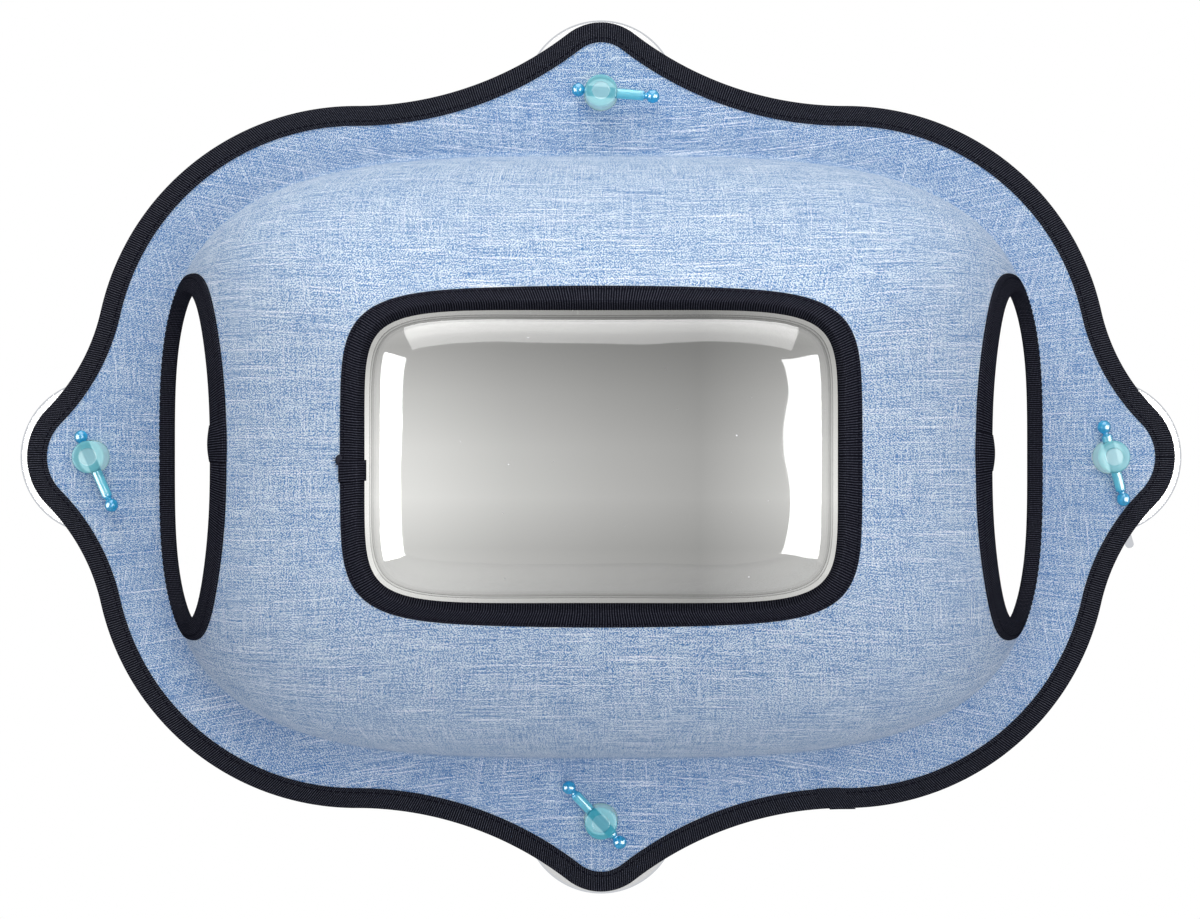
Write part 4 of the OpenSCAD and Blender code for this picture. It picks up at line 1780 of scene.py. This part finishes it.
@dataclass(frozen=True)
class Pod:
    """Shell of the pod: laminate, bindings, seams and bubble."""

    form: DomeForm
    flange: FlangeForm
    section: TapeSection = TapeSection()
    overlap: TapeSection = TapeSection(width=9.8, thick=1.6, gap=0.45)
    ring_rows: tuple[Point2, ...] = ((6.7, 1.35),)
    edge_rows: tuple[Point2, ...] = ((9.4, 1.05), (9.4, -6.65))
    edge_steps: int = 720
    opening_steps: int = 180
    window_steps: int = 288
    edge_joint: Point2 = (303.0, 305.9)
    edge_joint_grow: float = 0.6
    window_joint: Point2 = (180.8, 185.7)
    window_threads: int = 7
    left_joint: float = 277.0
    right_joint: float = 88.0
    opening_joint_half: float = 10.0

    def _edge_loop(self) -> Loop:
        """Path round the flange's edge.

        Returns:
            The path.
        """
        radii: dict[float, Callable[[float], float]] = {}

        def place(angle: float, k: float, d: float) -> Vector:
            """Point near the flange's edge.

            Args:
                angle: Polar angle, in radians.
                k: Distance in from the edge.
                d: Height over the flange's front.

            Returns:
                The point in metres.
            """
            if k not in radii:
                radii[k] = self.flange.outline(k)
            r = radii[k](angle)
            return self.form.place(r * math.cos(angle), r * math.sin(angle), d)

        return Loop(place, self.edge_steps)

    def _opening_loop(self, side: Side) -> Loop:
        """Path round a side opening.

        Args:
            side: Side of the pod.

        Returns:
            The path.
        """
        def place(angle: float, k: float, d: float) -> Vector:
            """Point near the opening's edge, at a polar angle, growth and height."""
            z, h = self.form.opening_edge(k, angle * side.value)
            return self.form.wall_point(z, h, d, side)

        return Loop(place, self.opening_steps)

    def _bindings(self) -> list[Binding]:
        """The bindings of the dome's three cut edges.

        Returns:
            The bindings of the left opening, the right opening and the window.
        """
        section, overlap = self.section.points(), self.overlap.points()
        bindings = []
        for side, middle in ((Side.LEFT, self.left_joint), (Side.RIGHT, self.right_joint)):
            key = side.name.lower()
            joint = TapeJoint(f"opening_{key}", middle - self.opening_joint_half,
                              middle + self.opening_joint_half)
            bindings.append(Binding("opening_{}_" + key, self._opening_loop(side), section,
                                    self.ring_rows, joint, overlap, section))
        loop = Loop(self.form.window_point, self.window_steps)
        joint = TapeJoint("window", *self.window_joint, threads=self.window_threads)
        bindings.append(Binding("window_{}", loop, section, self.ring_rows, joint, overlap))
        return bindings

    def dress(self) -> None:
        """Builds every piece of the shell and hands it over."""
        outside = WeaveFinish(
            "outer_weave", (0.050, 0.170, 0.41), (0.645, 0.735, 0.785), (0.90, 0.92, 0.93))
        inside = WeaveFinish(
            "lining_weave", (0.42, 0.47, 0.54), (0.66, 0.70, 0.76), (0.85, 0.87, 0.90), slub=0.2)
        foam = PlainFinish("foam", (0.06, 0.062, 0.07), 0.95, 0.4, 900.0, 0.2)
        layers = (
            (LaminateLayer("outer_fabric", "outer_fabric", 0.0, 0.78), outside),
            (LaminateLayer("foam_core", "foam", 0.82, 4.78), foam),
            (LaminateLayer("lining", "lining", 4.82, 5.6), inside),
        )
        for layer, finish in layers:
            obj = layer.build(self.form, self.flange)
            hand_over(obj, SHELL, layer.slot, finish.material(), layer.node)
        tape = TapeFinish().material()
        # Painted shade: the tapes round the openings and the window take a darker copy of the
        # tape, with lower crests.
        painted_shade_ring_tape = TapeFinish("binding_tape_rings", crest=(0.100, 0.103, 0.136)).material()
        thread = PlainFinish("thread", (0.010, 0.010, 0.016), 0.9, 0.3, 2000.0, 0.0).material()
        overlap = EdgeTapeSection(grow=self.edge_joint_grow).points()
        edge = Binding("edge_{}", self._edge_loop(), EdgeTapeSection().points(), self.edge_rows,
                       TapeJoint("edge", *self.edge_joint), overlap)
        edge.dress(tape, thread)
        for binding in self._bindings():
            binding.dress(painted_shade_ring_tape, thread)
        bubble = Bubble().build(self.form)
        hand_over(bubble, SHELL, "clear_window", PaintedShadeWindowFinish().material(), "window_bubble")


@dataclass(frozen=True)
class Fittings:
    """Suction cups and lock pins."""

    cup: SuctionCup = SuctionCup()
    pin: LockPin = LockPin()
    teal: Colour = (0.18, 0.55, 0.62)
    # Painted shade: darker teal of the bottom cup's plastic.
    painted_shade_teal: Colour = (0.075, 0.50, 0.61)
    # Pale colour of the painted highlight in the cups' recesses.
    pale: Colour = (0.64, 0.84, 0.88)

    def dress(self) -> None:
        """Builds every cup and pin and hands it over."""
        clear = PlasticFinish("cup_plastic", self.teal, self.pale).material()
        # Painted shade: a copy of the cup plastic for the bottom cup, with a darker teal, a greyer
        # skirt and a fainter painted highlight in the recess.
        painted_shade = PlasticFinish("cup_plastic_cloudy", self.painted_shade_teal, self.pale,
                               skirt_clear=0.78, painted_recess_glint=0.2).material()
        blue = PinFinish("pin_plastic", (0.20, 0.66, 0.76), (0.04, 0.42, 0.68)).material()
        for cup in CUPS:
            hand_over(self.cup.build(cup), f"cup_{cup.key}", "cup_plastic",
                      painted_shade if cup.painted_shade else clear, f"suction_cup_{cup.key}")
            hand_over(self.pin.build(cup), f"pin_{cup.key}", "pin_plastic", blue,
                      f"lock_pin_{cup.key}")


@dataclass(frozen=True)
class Lamp:
    """Area lamp that faces the pod, in metres and watts."""

    name: str
    place: Point3
    size: Point2
    power: float
    colour: Colour = WHITE
    lights: Lights = Lights.MATT
    target: Point3 = (0.0, -0.1, 0.0)

    def hang(self, scene: bpy.types.Scene) -> None:
        """Adds the lamp to the scene.

        Args:
            scene: The scene.
        """
        data = bpy.data.lights.new(self.name, "AREA")
        data.shape = "RECTANGLE"
        data.size, data.size_y = self.size
        data.energy = self.power
        data.color = self.colour
        lamp = bpy.data.objects.new(self.name, data)
        lamp.location = self.place
        aim = Vector(self.target) - Vector(self.place)
        lamp.rotation_euler = aim.to_track_quat("-Z", "Y").to_euler()
        gloss = self.lights is Lights.GLOSS
        lamp.visible_camera = False
        lamp.visible_glossy = gloss
        lamp.visible_diffuse = not gloss
        lamp.visible_transmission = not gloss
        scene.collection.objects.link(lamp)


LAMPS = (
    Lamp("key", (-0.5, -1.5, 1.75), (1.5, 1.1), 18.5, (0.99, 0.975, 0.89)),
    Lamp("overhead", (0.1, -0.45, 1.5), (1.6, 1.0), 11.0, (1.0, 0.99, 0.98)),
    Lamp("front", (0.25, -1.75, 0.0), (1.2, 1.2), 16.0, (1.0, 0.99, 0.99)),
    Lamp("left_shine", (-1.55, -1.0, 0.0), (1.9, 2.0), 200.0, lights=Lights.GLOSS),
    Lamp("right_shine", (1.36, -1.25, 0.0), (2.5, 1.9), 250.0, lights=Lights.GLOSS),
    Lamp("top_shine", (0.0, -0.45, 1.7), (1.9, 2.7), 74.0, lights=Lights.GLOSS),
)


@dataclass(frozen=True)
class Stage:
    """Camera, lamps, world and floor, in metres."""

    lens: float = 76.0
    sensor_w: float = 36.0
    camera_at: Point3 = (-0.0006, -1.515, -0.0015)
    ambient: Colour = (0.78, 0.83, 1.0)
    ambient_strength: float = 0.34
    floor_half: float = 2.0
    floor_z: float = -1.0
    floor_colour: Colour = (0.85, 0.85, 0.85)

    def build(self) -> None:
        """Sets the whole stage."""
        scene = bpy.context.scene
        scene.view_settings.view_transform = "Standard"
        self._camera(scene)
        scene.world = self._world()
        self._floor()
        for lamp in LAMPS:
            lamp.hang(scene)

    def _camera(self, scene: bpy.types.Scene) -> None:
        """Adds the camera, level and square to the glass.

        Args:
            scene: The scene.
        """
        data = bpy.data.cameras.new("camera")
        data.sensor_width = self.sensor_w
        data.lens = self.lens
        camera = bpy.data.objects.new("camera", data)
        camera.location = self.camera_at
        camera.rotation_euler = (QUARTER, 0.0, 0.0)
        scene.collection.objects.link(camera)
        scene.camera = camera

    def _world(self) -> bpy.types.World:
        """Builds a world that lights the pod softly and shows white behind it.

        Returns:
            The world.
        """
        g = NodeGraph(bpy.data.worlds.new("white"), "OutputWorld")
        rays = g.add("LightPath").socket.node.outputs
        seen = Field(g, rays["Is Camera Ray"])
        for name in ("Is Glossy Ray", "Is Transmission Ray"):
            seen = g.math("MAXIMUM", seen, Field(g, rays[name]))
        ambient = g.add("Background", {
            "Color": opaque(self.ambient), "Strength": self.ambient_strength})
        white = g.add("Background", {"Color": opaque(WHITE), "Strength": 1.0})
        return g.finish(g.blend(seen, ambient, white))

    def _floor(self) -> None:
        """Adds the floor, well below the pod."""
        bm = bmesh.new()
        bmesh.ops.create_grid(bm, x_segments=1, y_segments=1, size=self.floor_half,
                              matrix=Matrix.Translation((0.0, 0.0, self.floor_z)))
        floor = finish_mesh(bm, "floor")
        g = NodeGraph(bpy.data.materials.new("floor_white"))
        matt = g.add("BsdfDiffuse", {"Color": opaque(self.floor_colour)})
        floor.data.materials.append(g.finish(matt))


def main() -> None:
    """Builds the dressed perch and its stage."""
    logging.basicConfig(level=logging.INFO)
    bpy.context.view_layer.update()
    Pod(DomeForm(), FlangeForm()).dress()
    Fittings().dress()
    Stage().build()


if __name__ == "__main__":
    main()
